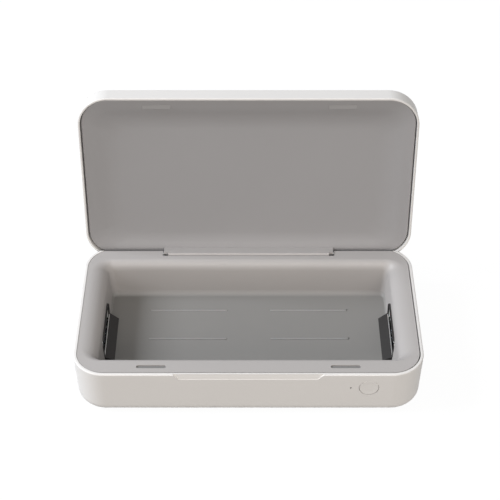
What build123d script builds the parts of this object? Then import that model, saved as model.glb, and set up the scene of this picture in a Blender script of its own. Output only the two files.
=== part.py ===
from build123d import *
import math
import os

# A box that cleans a phone with ultraviolet light: a base with a cavity, a lid on a rear hinge
# and a power button on the front. Millimetres, +Z up, front at -Y. The origin is the centre of
# the base's footprint, on the surface that it stands on. The lid stands open.

# ---------------------------------------------------------------- base case
CASE_LENGTH = 228.0         # along X, at the rim
CASE_DEPTH = 128.0          # along Y, at the rim
CASE_CORNER = 21.5          # upright corners, at the rim
CASE_WALL = 2.0
CASE_DRAFT = 2.4            # degrees, the case narrows downwards
CASE_FOOT_ROUND = 7.0       # bottom edge
CASE_RIM_ROUND = 0.8        # outer edge of the rim
RIM_HEIGHT = 36.0           # rim above the surface
CASE_STANDOFF = 0.8         # case bottom above the surface
CASE_FLOOR = 2.0
COVER_MARGIN = 0.4          # bottom cover's edge inside the case's rounded bottom edge
COVER_STEP = 1.0            # flange of the case that the cover's upper half fits in
COVER_CLEARANCE = 0.15
TUB_LEDGE = 1.2             # ledge under the tub's rim, beyond the groove
TUB_LEDGE_THICKNESS = 1.5
TUB_LEDGE_GAP = 0.1
SCOOP_TOP_LENGTH = 98.8     # finger scoop in the front edge
SCOOP_LOW_LENGTH = 88.0
SCOOP_HEIGHT = 4.7
SCOOP_CUT = 1.2             # how far it reaches into the wall at the rim

# ---------------------------------------------------------------- foot ring and screws
FOOT_INSET = 11.5           # from the case's rim inwards
FOOT_LENGTH = CASE_LENGTH - 2 * FOOT_INSET
FOOT_DEPTH = CASE_DEPTH - 2 * FOOT_INSET
FOOT_CORNER = 17.0
FOOT_WIDTH = 7.0
FOOT_THICKNESS = 1.6
FOOT_CLEARANCE = 0.1
SCREW_INSET = 39.0          # from the ends of the case
SCREW_X = CASE_LENGTH / 2 - SCREW_INSET
SCREW_RADIUS = 1.4
SCREW_LENGTH = 14.0
SCREW_HEAD_RADIUS = 2.6
SCREW_HEAD_HEIGHT = 1.6
SCREW_CLEARANCE = 0.2
POST_RADIUS = 3.2
POST_SPLIT = 7.6            # height where the cover's post meets the tub post
POST_GAP = 0.2

# ---------------------------------------------------------------- tub in the base
LINER_GAP = 0.4             # groove between case and tub
LINER_DROP = 0.2            # tub rim below the case rim
LINER_RIM = 2.5             # thickness of the rim
LINER_WALL = 2.0
RIM_END = 15.4              # rim from the case's edge to the cavity, at the ends
RIM_SIDE = 17.4             # the same at the front and the rear
CAVITY_LENGTH = CASE_LENGTH - 2 * RIM_END
CAVITY_DEPTH = CASE_DEPTH - 2 * RIM_SIDE
CAVITY_CORNER = 11.0
CAVITY_DRAFT = 4.0          # degrees
LIP_ROUND = 4.0
SLOT_LENGTH = 19.3          # catch slots in the front rim
SLOT_WIDTH = 2.8
SLOT_X = 62.65
SLOT_INSET = 8.1            # slot's middle from the front of the case

# ---------------------------------------------------------------- cavity floor and charger
DECK_TOP = 6.9
DECK_THICKNESS = 1.4
DECK_CLEARANCE = 0.1
DECK_LEDGE = 3.0            # width of the ledge that carries it
DECK_LEDGE_THICKNESS = 1.0
RIB_LENGTH = 53.3
RIB_WIDTH = 1.1
RIB_HEIGHT = 0.8
RIB_X = 41.85
RIB_PITCH = 28.8
COIL_OUTER = 22.0
COIL_INNER = 10.0
COIL_THICKNESS = 1.3
FERRITE_RADIUS = 24.0
FERRITE_THICKNESS = 0.9

# ---------------------------------------------------------------- lamps
WINDOW_HALF = 22.2          # half length of the lamp window in the cavity's end wall
WINDOW_DROP = 12.0          # top of the window below the rim
WINDOW_ROUND = 7.0          # upper corners of the window
CRADLE_CLEARANCE = 0.2
CRADLE_WALL = 1.2
CRADLE_DEPTH = 11.8         # from the end wall's inner face to the inside of its back
GUARD_LENGTH = 6.2          # slope of the guard, along X
GUARD_HEIGHT = 3.9
GUARD_NOSE_HALF = 20.6      # half length of the guard's foot
GUARD_TOP_WIDTH = 0.9
REFLECTOR_RADIUS = 6.0
REFLECTOR_SHEET = 0.4
REFLECTOR_START = -137.5    # degrees, lower lip
REFLECTOR_END = 100.0       # upper lip
LAMP_OFFSET = 5.0           # lamp axis outside the end wall's foot
LAMP_LIFT = 8.2             # lamp axis above the deck
LAMP_RADIUS = 2.0
LAMP_BORE = 1.3
LAMP_LENGTH = 40.0
CAP_THICKNESS = 2.6
CAP_CLEARANCE = 0.15

# ---------------------------------------------------------------- lid
LID_HEIGHT = 13.7
LID_CORNER = 21.0
LID_WALL = 1.2
LID_ROOF = 2.0
LID_DRAFT = 0.7             # degrees
LID_EDGE_ROUND = 2.4
LID_RIM_ROUND = 0.7
SEAM = 0.3                  # gap between the rims when the lid is shut
LID_LINER_GAP = 0.8
LID_LINER_THICKNESS = 1.6
DISH_BAND = 4.4             # flat band round the dish
DISH_SLOPE = 19.5
DISH_DEPTH = 5.5
DISH_CORNER = 10.0
LID_OPEN_ANGLE = 95.3

# ---------------------------------------------------------------- hinge
HINGE_INSET = 5.3           # hinge axis from the rear of the case
HINGE_DROP = 1.6            # hinge axis below the case rim
PIN_RADIUS = 0.9
PIN_CLEARANCE = 0.04
KNUCKLE_RADIUS = 3.9
KNUCKLE_LENGTH = 119.2
KNUCKLE_FLAT = 2.2          # front flat of the knuckle from the axis
WEB_BACK = 1.6
LEAF_LEVEL = 4.7            # leaf above the lid's rim plane
LEAF_THICKNESS = 1.2
LEAF_FRONT = 7.5
LEAF_SCREW_FRONT = 5.0
LEAF_SCREWS = (-50.0, -17.0, 17.0, 50.0)
LEAF_SCREW_RADIUS = 0.9
LEAF_SCREW_LENGTH = 5.0
LEAF_HEAD_RADIUS = 1.7
LEAF_HEAD_HEIGHT = 0.9
LEAF_BOSS_RADIUS = 2.4
TROUGH_CLEARANCE = 0.4
TROUGH_END_GAP = 0.7
TROUGH_WALL = 1.8
EAR_RADIUS = 1.55
EAR_LENGTH = 6.4
PIN_END_GAP = 0.7           # end of the pin inside the outer face of its ear
PIN_LENGTH = KNUCKLE_LENGTH + 2 * (TROUGH_END_GAP + EAR_LENGTH - PIN_END_GAP)
REAR_INSET = 4.5            # upright rear face of the tub from the rear of the case
REAR_WALL = 1.8
REAR_LEDGE_DROP = 8.0       # ledge under the open lid, below the rim
REAR_LEDGE_THICKNESS = 2.0
REAR_LEDGE_GAP = 0.3
SLEEVE_RADIUS = 2.2
SLEEVE_LENGTH = 12.0

# ---------------------------------------------------------------- lid catch
TAB_REACH = 0.9             # below the lid's rim plane
TAB_CLEARANCE = 0.35        # round the tab in the slot
TAB_FIT = 0.1               # round the tab in the lid
TAB_FLANGE = 0.6
TAB_FLANGE_LEVEL = 2.8      # flange above the lid's rim plane, clear of the dish's back
TAB_FLANGE_THICKNESS = 0.8
CATCH_MAGNET_HEIGHT = 3.0
CATCH_MAGNET_WIDTH = 4.4
SENSOR_MAGNET_RADIUS = 1.8
SENSOR_MAGNET_HEIGHT = 2.0

# ---------------------------------------------------------------- button and indicator
BUTTON_INSET = 36.3         # button's centre from the right end of the case
BUTTON_X = CASE_LENGTH / 2 - BUTTON_INSET
BUTTON_DROP = 12.0          # button's centre below the rim
BUTTON_RADIUS = 6.3
BUTTON_CLEARANCE = 0.15
BUTTON_FLANGE = 1.0
BUTTON_FLANGE_THICKNESS = 1.0
BUTTON_TRAVEL_GAP = 0.3
LED_SPACING = 11.7          # indicator left of the button
LED_X = BUTTON_X - LED_SPACING
SENSOR_SPACING = 7.3        # lid sensor and its magnet right of the button
SENSOR_X = BUTTON_X + SENSOR_SPACING
PIPE_RADIUS = 0.5
PIPE_CLEARANCE = 0.1
BUTTON_BOARD_INSET = 8.3    # front of the board from the front of the case
BUTTON_BOARD_LENGTH = 26.0
BUTTON_BOARD_HEIGHT = 14.5
BUTTON_BOARD_BOTTOM = 15.0
BUTTON_BOARD_SHIFT = 2.7    # middle of the board left of the button
BUTTON_BOARD_X = BUTTON_X - BUTTON_BOARD_SHIFT
SWITCH_SIZE = 6.0
SWITCH_DEPTH = 3.4
PLUNGER_RADIUS = 1.6
PLUNGER_CLEARANCE = 0.1
PLUNGER_ENTRY = 1.6

# ---------------------------------------------------------------- boards at the rear
BOARD_THICKNESS = 1.6
BOARD_INSET = 8.5           # rear face of the boards from the rear of the case
BOARD_BOTTOM = 4.5
MAIN_BOARD_LENGTH = 76.0
MAIN_BOARD_HEIGHT = 20.0
DRIVER_GAP = 6.0            # between the two boards
DRIVER_LENGTH = 26.0
DRIVER_X = MAIN_BOARD_LENGTH / 2 + DRIVER_GAP + DRIVER_LENGTH / 2
DRIVER_HEIGHT = 16.0
BOARD_CLEARANCE = 0.1
CHIP_LEVEL = 10.0           # middle of the chips above the board's lower edge
CHIPS = (                   # place along X, width, thickness, height
    (-30.0, 7.0, 1.2, 7.0),
    (-18.0, 5.0, 1.0, 5.0),
    (16.0, 6.0, 3.0, 6.0),
    (27.0, 8.0, 1.2, 8.0),
)
CAPACITOR_X = -8.0
CAPACITOR_LEVEL = 14.0
CAPACITOR_RADIUS = 2.0
CAPACITOR_LENGTH = 4.5
CORE_WIDTH = 14.0           # transformer core
CORE_HEIGHT = 10.0
CORE_DEPTH = 5.0
CORE_LEVEL = 9.0            # middle of the core above the board's lower edge
CORE_SLOT_WIDTH = 2.4
CORE_SLOT_HEIGHT = 7.0
CORE_SLOT_X = 4.6
CORE_BACK = 1.0
REST_WIDTH = 4.0
REST_WALL = 1.6
REST_HEIGHT = 5.0           # above the case floor
SOCKET_HEIGHT = 13.0        # middle of the power socket above the surface
SOCKET_WIDTH = 9.0
SOCKET_THICKNESS = 3.3
SOCKET_SHEET = 0.3
SOCKET_SET_BACK = 0.5       # mouth behind the case's rear face
SOCKET_CLEARANCE = 0.25
TONGUE_WIDTH = 6.7
TONGUE_THICKNESS = 0.7

# ---------------------------------------------------------------- worked-out places
front = -CASE_DEPTH / 2
rear = CASE_DEPTH / 2
case_floor_top = CASE_STANDOFF + CASE_FLOOR
liner_top = RIM_HEIGHT - LINER_DROP
liner_under = liner_top - LINER_RIM
lid_plane = RIM_HEIGHT + SEAM
lid_top = lid_plane + LID_HEIGHT
lid_roof_under = lid_top - LID_ROOF
hinge_y = rear - HINGE_INSET
hinge_z = RIM_HEIGHT - HINGE_DROP
hinge_line = Axis((0, hinge_y, hinge_z), (1, 0, 0))
rear_face = rear - REAR_INSET
ledge_top = RIM_HEIGHT - REAR_LEDGE_DROP
trough_radius = KNUCKLE_RADIUS + TROUGH_CLEARANCE
trough_half = KNUCKLE_LENGTH / 2 + TROUGH_END_GAP
deck_under = DECK_TOP - DECK_THICKNESS
screw_y = FOOT_DEPTH / 2 - FOOT_WIDTH / 2
cover_inset = CASE_FOOT_ROUND + COVER_MARGIN
cover_split = CASE_STANDOFF + CASE_FLOOR / 2
screw_head_low = FOOT_THICKNESS + SCREW_CLEARANCE
slot_y = front + SLOT_INSET
button_z = RIM_HEIGHT - BUTTON_DROP
window_top = RIM_HEIGHT - WINDOW_DROP
leaf_low = lid_plane + LEAF_LEVEL
leaf_high = leaf_low + LEAF_THICKNESS


def slope(height, degrees):
    return height * math.tan(math.radians(degrees))


def slab(x0, x1, y0, y1, z0, z1):
    """A plain block between two corners."""
    return Pos((x0 + x1) / 2, (y0 + y1) / 2, (z0 + z1) / 2) * Box(x1 - x0, y1 - y0, z1 - z0)


def rod(radius, start, end):
    """A round bar from one point to another."""
    run = Vector(*end) - Vector(*start)
    return Solid.make_cylinder(radius, run.length, Plane(origin=start, z_dir=run))


def rounded(length, depth, corner, height):
    return Pos(0, 0, height) * RectangleRounded(length, depth, corner)


def case_outline(height, inset):
    """The base case's outline at a height, moved inwards by inset."""
    cut = inset + slope(RIM_HEIGHT - height, CASE_DRAFT)
    return rounded(CASE_LENGTH - 2 * cut, CASE_DEPTH - 2 * cut, CASE_CORNER - cut, height)


def cavity_outline(height, inset):
    cut = inset + slope(liner_top - height, CAVITY_DRAFT)
    return rounded(CAVITY_LENGTH - 2 * cut, CAVITY_DEPTH - 2 * cut, CAVITY_CORNER - cut, height)


def lid_outline(height, inset):
    cut = inset + slope(height - lid_plane, LID_DRAFT)
    return rounded(CASE_LENGTH - 2 * cut, CASE_DEPTH - 2 * cut, LID_CORNER - cut, height)


def block(outline, inset, low, high):
    """A block that follows one of the outlines from a low to a high level."""
    return loft([outline(low, inset), outline(high, inset)], ruled=True)


def swing_open(piece):
    """The lid's pieces are modelled shut and turned to the open stop."""
    return piece.rotate(hinge_line, -LID_OPEN_ANGLE)


def mirrored(piece):
    return mirror(piece, about=Plane.YZ)


def end_wall(height):
    """X of the cavity's end wall at a height."""
    return CAVITY_LENGTH / 2 - slope(liner_top - height, CAVITY_DRAFT)


def case_front(height):
    return front + slope(RIM_HEIGHT - height, CASE_DRAFT)


def case_rear(height):
    return rear - slope(RIM_HEIGHT - height, CASE_DRAFT)


def screw_places():
    return [(x, y) for x in (-SCREW_X, SCREW_X) for y in (-screw_y, screw_y)]


# ---------------------------------------------------------------- base case
def case_block():
    """The case's outer form, with its rounded bottom and rim edges."""
    body = block(case_outline, 0, CASE_STANDOFF, RIM_HEIGHT)
    body = fillet(body.edges().group_by(Axis.Z)[0], CASE_FOOT_ROUND)
    return fillet(body.edges().group_by(Axis.Z)[-1], CASE_RIM_ROUND)


def board_rest(x, y_low, y_high, low, slot_bottom, top):
    """A rib in the case with a slot that holds the foot of an upright board."""
    half = REST_WIDTH / 2
    rib = slab(x - half, x + half, y_low - REST_WALL, y_high + REST_WALL, low, top)
    slot = slab(x - half, x + half, y_low - BOARD_CLEARANCE, y_high + BOARD_CLEARANCE, slot_bottom, top)
    return rib - slot


def foot_frame(grow):
    """The foot ring's face, widened by grow on each side for its groove."""
    outer = RectangleRounded(FOOT_LENGTH + 2 * grow, FOOT_DEPTH + 2 * grow, FOOT_CORNER + grow)
    cut = 2 * (FOOT_WIDTH + grow)
    return outer - RectangleRounded(FOOT_LENGTH - cut, FOOT_DEPTH - cut, FOOT_CORNER - FOOT_WIDTH - grow)


def make_base_shell():
    outer = case_block()
    hollow = block(case_outline, CASE_WALL, case_floor_top, RIM_HEIGHT)
    hollow = fillet(hollow.edges().group_by(Axis.Z)[0], CASE_FOOT_ROUND - CASE_WALL)
    shell = outer - hollow

    # rear ledge under the open lid: the wall above it is cut away, and it reaches in to the tub
    half = CASE_LENGTH / 2
    shelf = slab(-half, half, rear_face - REAR_WALL, rear, ledge_top - REAR_LEDGE_THICKNESS, ledge_top)
    shell += shelf & outer
    shell -= slab(-half, half, rear_face, rear + 1, ledge_top, RIM_HEIGHT + 1)

    # finger scoop in the front edge
    low_z = RIM_HEIGHT - SCOOP_HEIGHT
    outside = front - 2
    top_y = front + SCOOP_CUT
    low_y = case_front(low_z)
    scoop = loft([
        Pos(0, (low_y + outside) / 2, low_z) * Rectangle(SCOOP_LOW_LENGTH, low_y - outside),
        Pos(0, (top_y + outside) / 2, RIM_HEIGHT) * Rectangle(SCOOP_TOP_LENGTH, top_y - outside),
    ], ruled=True)
    shell -= scoop

    # ledge that carries the rim of the tub, on the sides and the front
    ledge_high = liner_under - TUB_LEDGE_GAP
    ledge_low = ledge_high - TUB_LEDGE_THICKNESS
    ledge = block(case_outline, CASE_WALL / 2, ledge_low, ledge_high)
    ledge -= block(case_outline, CASE_WALL + LINER_GAP + TUB_LEDGE, ledge_low, ledge_high)
    shell += ledge & slab(-half, half, front, rear - CASE_CORNER, 0, RIM_HEIGHT)

    # rests of the boards at the rear and of the button board at the front
    board_high = rear - BOARD_INSET
    board_low = board_high - BOARD_THICKNESS
    rest_low = case_floor_top - 0.5
    rest_top = case_floor_top + REST_HEIGHT
    spans = [(0, MAIN_BOARD_LENGTH), (DRIVER_X, DRIVER_LENGTH)]
    for middle, length in spans:
        for side in (-1, 1):
            x = middle + side * (length / 2 - REST_WIDTH)
            shell += board_rest(x, board_low, board_high, rest_low, BOARD_BOTTOM - BOARD_CLEARANCE, rest_top)
    board_low = front + BUTTON_BOARD_INSET
    board_high = board_low + BOARD_THICKNESS
    slot_low = BUTTON_BOARD_BOTTOM - BOARD_CLEARANCE
    for side in (-1, 1):
        x = BUTTON_BOARD_X + side * (BUTTON_BOARD_LENGTH / 2 - REST_WIDTH)
        top = BUTTON_BOARD_BOTTOM + REST_WALL
        shell += board_rest(x, board_low, board_high, slot_low - REST_WALL, slot_low, top)
        shell += slab(x - REST_WIDTH / 2, x + REST_WIDTH / 2, case_front(slot_low) + CASE_WALL / 2,
                      board_low - REST_WALL / 2, slot_low - REST_WALL, top)

    # opening of the bottom cover, with a flange in its upper half
    shell -= cover_plate(COVER_CLEARANCE)

    # holes of the button, the indicator and the power socket
    wall_y = case_front(button_z)
    shell -= rod(BUTTON_RADIUS + BUTTON_CLEARANCE, (BUTTON_X, wall_y - 2, button_z),
                 (BUTTON_X, wall_y + CASE_WALL + 1, button_z))
    shell -= rod(PIPE_RADIUS + PIPE_CLEARANCE, (LED_X, wall_y - 2, button_z),
                 (LED_X, wall_y + CASE_WALL + 1, button_z))
    shell -= socket_shape(SOCKET_CLEARANCE, case_rear(SOCKET_HEIGHT) - CASE_WALL - 1, rear + 1)
    return shell


def cover_plate(grow):
    """The bottom cover's plate, grown all round for its opening in the case."""
    lower = block(case_outline, cover_inset - grow, CASE_STANDOFF - grow, cover_split + grow)
    upper = block(case_outline, cover_inset + COVER_STEP - grow, cover_split, case_floor_top + grow)
    return lower + upper


def make_bottom_cover():
    cover = cover_plate(0)
    # screw posts, flat where they pass the tub, with the head's seat sunk in the bottom
    tub = block(cavity_outline, -LINER_WALL - POST_GAP, case_floor_top, POST_SPLIT)
    for x, y in screw_places():
        cover += rod(POST_RADIUS, (x, y, case_floor_top - 0.5), (x, y, POST_SPLIT - POST_GAP)) - tub
    for x, y in screw_places():
        head_top = screw_head_low + SCREW_HEAD_HEIGHT
        cover -= rod(SCREW_HEAD_RADIUS + SCREW_CLEARANCE, (x, y, 0), (x, y, head_top))
        cover -= rod(SCREW_RADIUS + SCREW_CLEARANCE, (x, y, 0), (x, y, POST_SPLIT))
    # groove of the foot ring
    return cover - extrude(foot_frame(FOOT_CLEARANCE), FOOT_THICKNESS)


def make_foot_ring():
    return extrude(foot_frame(0), FOOT_THICKNESS)


def make_case_screws():
    screws = []
    for x, y in screw_places():
        head_top = screw_head_low + SCREW_HEAD_HEIGHT
        head = rod(SCREW_HEAD_RADIUS, (x, y, screw_head_low), (x, y, head_top))
        shank = rod(SCREW_RADIUS, (x, y, screw_head_low), (x, y, head_top + SCREW_LENGTH))
        cross = slab(x - 1.5, x + 1.5, y - 0.3, y + 0.3, screw_head_low, screw_head_low + 0.9)
        cross += slab(x - 0.3, x + 0.3, y - 1.5, y + 1.5, screw_head_low, screw_head_low + 0.9)
        screws.append(head + shank - cross)
    return screws


# ---------------------------------------------------------------- tub
def window_block(x0, x1, half, top):
    """A block of the lamp window's form, with its upper corners rounded."""
    form = slab(x0, x1, -half, half, DECK_TOP, top)
    return fillet(form.edges().filter_by(Axis.X).group_by(Axis.Z)[-1], WINDOW_ROUND)


def make_base_liner():
    rim_inset = CASE_WALL + LINER_GAP
    rim = extrude(rounded(CASE_LENGTH - 2 * rim_inset, CASE_DEPTH - 2 * rim_inset,
                          CASE_CORNER - rim_inset, liner_under), LINER_RIM)
    rim = rim & slab(-CASE_LENGTH, CASE_LENGTH, front, rear_face, 0, RIM_HEIGHT)
    tub_foot = deck_under - DECK_LEDGE_THICKNESS
    tub = block(cavity_outline, -LINER_WALL, tub_foot, liner_top)
    liner = rim + tub - block(cavity_outline, 0, deck_under, liner_top)
    liner -= block(cavity_outline, DECK_LEDGE, tub_foot, deck_under)
    top_face = liner.faces().sort_by(Axis.Z)[-1]
    liner = fillet(top_face.inner_wires()[0].edges(), LIP_ROUND)

    # upright rear face that closes the case above its ledge
    upright_half = CASE_LENGTH / 2 - CASE_CORNER + math.sqrt(
        (CASE_CORNER - rim_inset) ** 2 - (CASE_CORNER - REAR_INSET) ** 2)
    upright_low = ledge_top + REAR_LEDGE_GAP
    liner += slab(-upright_half, upright_half, rear_face - REAR_WALL, rear_face, upright_low, liner_under)

    # trough of the hinge knuckle, open above and behind
    block_half = trough_half + TROUGH_WALL
    block_front = hinge_y - trough_radius - TROUGH_WALL
    liner += slab(-block_half, block_half, block_front, rear_face, upright_low, liner_under)
    trough = rod(trough_radius, (-trough_half, hinge_y, hinge_z), (trough_half, hinge_y, hinge_z))
    open_front = hinge_y - math.sqrt(trough_radius ** 2 - (liner_top - hinge_z) ** 2)
    trough += slab(-trough_half, trough_half, open_front, rear_face + 1, hinge_z, RIM_HEIGHT)
    trough += slab(-trough_half, trough_half, hinge_y, rear_face + 1, hinge_z - trough_radius, RIM_HEIGHT)
    liner -= trough

    # ears at the trough's ends carry the pin
    for side in (-1, 1):
        near = side * trough_half
        far = side * (trough_half + EAR_LENGTH)
        low_x, high_x = min(near, far), max(near, far)
        ear = slab(low_x, high_x, hinge_y - 2 * EAR_RADIUS, hinge_y, hinge_z - 2 * EAR_RADIUS, liner_under)
        ear += rod(EAR_RADIUS, (near, hinge_y, hinge_z), (far, hinge_y, hinge_z))
        liner += ear & slab(low_x, high_x, front, rear, 0, liner_top)
        bore = PIN_RADIUS + PIN_CLEARANCE
        liner -= rod(bore, (near, hinge_y, hinge_z), (far, hinge_y, hinge_z))

    # catch slots in the front rim
    for x in (-SLOT_X, SLOT_X):
        slot = Pos(x, slot_y, 0) * SlotOverall(SLOT_LENGTH, SLOT_WIDTH)
        liner -= extrude(slot, liner_top + 1)

    # windows of the lamps in the end walls
    for side in (-1, 1):
        inner = side * (end_wall(DECK_TOP) - 3)
        outer = side * (CAVITY_LENGTH / 2 + LINER_WALL + 1)
        liner -= window_block(min(inner, outer), max(inner, outer), WINDOW_HALF, window_top)

    # screw posts under the rim
    for x, y in screw_places():
        post = rod(POST_RADIUS, (x, y, POST_SPLIT), (x, y, liner_under + 0.5))
        pilot = rod(SCREW_RADIUS, (x, y, POST_SPLIT), (x, y, POST_SPLIT + SCREW_LENGTH))
        liner += post - block(cavity_outline, 0, deck_under, liner_top)
        liner -= pilot
    return liner


# ---------------------------------------------------------------- cavity floor and charger
def make_charging_deck():
    deck = block(cavity_outline, DECK_CLEARANCE, deck_under, DECK_TOP)
    for x in (-RIB_X, RIB_X):
        for row in (-1, 0, 1):
            rib = Pos(x, row * RIB_PITCH, DECK_TOP) * SlotOverall(RIB_LENGTH, RIB_WIDTH)
            deck += extrude(rib, RIB_HEIGHT)
    return deck


def make_charging_coil():
    ring = Circle(COIL_OUTER) - Circle(COIL_INNER)
    return extrude(Pos(0, 0, deck_under - DECK_CLEARANCE - COIL_THICKNESS) * ring, COIL_THICKNESS)


def make_coil_ferrite():
    top = deck_under - 2 * DECK_CLEARANCE - COIL_THICKNESS
    return extrude(Pos(0, 0, top - FERRITE_THICKNESS) * Circle(FERRITE_RADIUS), FERRITE_THICKNESS)


# ---------------------------------------------------------------- lamps, modelled at the right end
lamp_x = end_wall(DECK_TOP) + LAMP_OFFSET
lamp_z = DECK_TOP + LAMP_LIFT
cradle_half = WINDOW_HALF - CRADLE_CLEARANCE
cradle_inner_half = cradle_half - CRADLE_WALL
guard_top_x = end_wall(DECK_TOP + GUARD_HEIGHT) - CRADLE_CLEARANCE
cradle_back = end_wall(DECK_TOP) + CRADLE_DEPTH
deck_gap = 0.05


def make_lamp_cradle():
    floor_z = DECK_TOP + deck_gap
    # sloping guard on the deck: wider at its top edge than at its foot
    foot_x = guard_top_x - GUARD_LENGTH
    guard_back = guard_top_x + GUARD_TOP_WIDTH
    ramp = Plane.XZ * Polygon((foot_x, floor_z), (guard_back, floor_z),
                              (guard_back, DECK_TOP + GUARD_HEIGHT), (guard_top_x, DECK_TOP + GUARD_HEIGHT),
                              align=None)
    cradle = extrude(ramp, cradle_half, both=True)
    plan = Polygon((foot_x, -GUARD_NOSE_HALF), (guard_top_x, -cradle_half), (cradle_back, -cradle_half),
                   (cradle_back, cradle_half), (guard_top_x, cradle_half), (foot_x, GUARD_NOSE_HALF), align=None)
    cradle = cradle & extrude(plan, window_top)
    # box behind the window: floor, back, roof and two cheeks
    outer = slab(guard_top_x, cradle_back + CRADLE_WALL, -cradle_half, cradle_half,
                 floor_z, window_top - CRADLE_CLEARANCE)
    inner = slab(guard_top_x, cradle_back, -cradle_inner_half, cradle_inner_half,
                 DECK_TOP + CRADLE_WALL, window_top - CRADLE_CLEARANCE - CRADLE_WALL)
    # where the box passes the end wall it has the window's rounded corners
    wall_back = end_wall(window_top) + LINER_WALL + CRADLE_CLEARANCE
    passing = window_block(guard_top_x, wall_back, cradle_half, window_top - CRADLE_CLEARANCE)
    corners = slab(guard_top_x, wall_back, -cradle_half, cradle_half, DECK_TOP, window_top) - passing
    box = outer - inner - corners
    # seat of the reflector
    seat = REFLECTOR_RADIUS + REFLECTOR_SHEET + CRADLE_CLEARANCE / 2
    seat_half = cradle_inner_half
    return cradle + box - rod(seat, (lamp_x, -seat_half, lamp_z), (lamp_x, seat_half, lamp_z))


def make_lamp_reflector():
    ring = Circle(REFLECTOR_RADIUS + REFLECTOR_SHEET) - Circle(REFLECTOR_RADIUS)
    reach = 3 * REFLECTOR_RADIUS
    mouth = [(0, 0)]
    for degrees in (REFLECTOR_END, (REFLECTOR_END + REFLECTOR_START + 360) / 2, REFLECTOR_START + 360):
        turn = math.radians(degrees)
        mouth.append((reach * math.cos(turn), reach * math.sin(turn)))
    ring -= Polygon(*mouth, align=None)
    return extrude(Plane.XZ * Pos(lamp_x, lamp_z) * ring, cradle_inner_half - CRADLE_CLEARANCE, both=True)


def make_uv_lamp():
    half = LAMP_LENGTH / 2
    tube = rod(LAMP_RADIUS, (lamp_x, -half, lamp_z), (lamp_x, half, lamp_z))
    return tube - rod(LAMP_BORE, (lamp_x, 2 - half, lamp_z), (lamp_x, half - 2, lamp_z))


def make_lamp_end_caps():
    """Two holders for one lamp: discs that fill the reflector's round and grip the tube."""
    caps = []
    radius = REFLECTOR_RADIUS - CAP_CLEARANCE
    outer_y = cradle_inner_half - CRADLE_CLEARANCE
    for side in (-1, 1):
        start = (lamp_x, side * outer_y, lamp_z)
        end = (lamp_x, side * (outer_y - CAP_THICKNESS), lamp_z)
        cap = rod(radius, start, end) - rod(LAMP_RADIUS + CAP_CLEARANCE / 3, start, end)
        front_x = guard_top_x + GUARD_TOP_WIDTH + CAP_CLEARANCE
        cap = cap & slab(front_x, cradle_back, -cradle_half, cradle_half, 0, RIM_HEIGHT)
        caps.append(cap)
    return caps


# ---------------------------------------------------------------- rear boards
def socket_shape(grow, y0, y1):
    """The power socket's flat-sided oval, from y0 to y1."""
    oval = SlotOverall(SOCKET_WIDTH + 2 * grow, SOCKET_THICKNESS + 2 * grow)
    body = extrude(Plane.XZ * oval, -(y1 - y0))
    return Pos(0, y0, SOCKET_HEIGHT) * body


def make_usb_c_socket():
    y0 = rear - BOARD_INSET
    y1 = case_rear(SOCKET_HEIGHT) - SOCKET_SET_BACK
    can = socket_shape(0, y0, y1) - socket_shape(-SOCKET_SHEET, y0 + 1, y1)
    tongue = slab(-TONGUE_WIDTH / 2, TONGUE_WIDTH / 2, y0 + 0.5, y1 - 0.8,
                  SOCKET_HEIGHT - TONGUE_THICKNESS / 2, SOCKET_HEIGHT + TONGUE_THICKNESS / 2)
    return can + tongue


def upright_board(middle, length, height):
    y1 = rear - BOARD_INSET
    return slab(middle - length / 2, middle + length / 2, y1 - BOARD_THICKNESS, y1,
                BOARD_BOTTOM, BOARD_BOTTOM + height)


def make_main_board_parts():
    """Chips, a choke and a capacitor on the main board's rear face."""
    y0 = rear - BOARD_INSET
    middle = BOARD_BOTTOM + CHIP_LEVEL
    parts = [slab(x - w / 2, x + w / 2, y0, y0 + t, middle - h / 2, middle + h / 2) for x, w, t, h in CHIPS]
    z = BOARD_BOTTOM + CAPACITOR_LEVEL
    parts.append(rod(CAPACITOR_RADIUS, (CAPACITOR_X, y0, z), (CAPACITOR_X, y0 + CAPACITOR_LENGTH, z)))
    return parts


def make_lamp_driver_transformer():
    y0 = rear - BOARD_INSET
    z = BOARD_BOTTOM + CORE_LEVEL
    core = slab(DRIVER_X - CORE_WIDTH / 2, DRIVER_X + CORE_WIDTH / 2, y0, y0 + CORE_DEPTH,
                z - CORE_HEIGHT / 2, z + CORE_HEIGHT / 2)
    for side in (-1, 1):
        x = DRIVER_X + side * CORE_SLOT_X
        core -= slab(x - CORE_SLOT_WIDTH / 2, x + CORE_SLOT_WIDTH / 2, y0 + CORE_BACK, y0 + CORE_DEPTH,
                     z - CORE_SLOT_HEIGHT / 2, z + CORE_SLOT_HEIGHT / 2)
    return core


# ---------------------------------------------------------------- front board, button and indicator
button_board_front = front + BUTTON_BOARD_INSET
button_face = case_front(button_z)
flange_front = case_front(button_z - BUTTON_RADIUS - BUTTON_FLANGE) + CASE_WALL + BUTTON_TRAVEL_GAP
button_back = flange_front + BUTTON_FLANGE_THICKNESS


def make_button_board():
    half = BUTTON_BOARD_LENGTH / 2
    return slab(BUTTON_BOARD_X - half, BUTTON_BOARD_X + half,
                button_board_front, button_board_front + BOARD_THICKNESS,
                BUTTON_BOARD_BOTTOM, BUTTON_BOARD_BOTTOM + BUTTON_BOARD_HEIGHT)


def make_tact_switch():
    half = SWITCH_SIZE / 2
    body = slab(BUTTON_X - half, BUTTON_X + half, button_board_front - SWITCH_DEPTH, button_board_front,
                button_z - half, button_z + half)
    return body - rod(PLUNGER_RADIUS + PLUNGER_CLEARANCE,
                      (BUTTON_X, button_board_front - SWITCH_DEPTH, button_z),
                      (BUTTON_X, button_board_front - SWITCH_DEPTH + 2 * PLUNGER_ENTRY, button_z))


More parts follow.
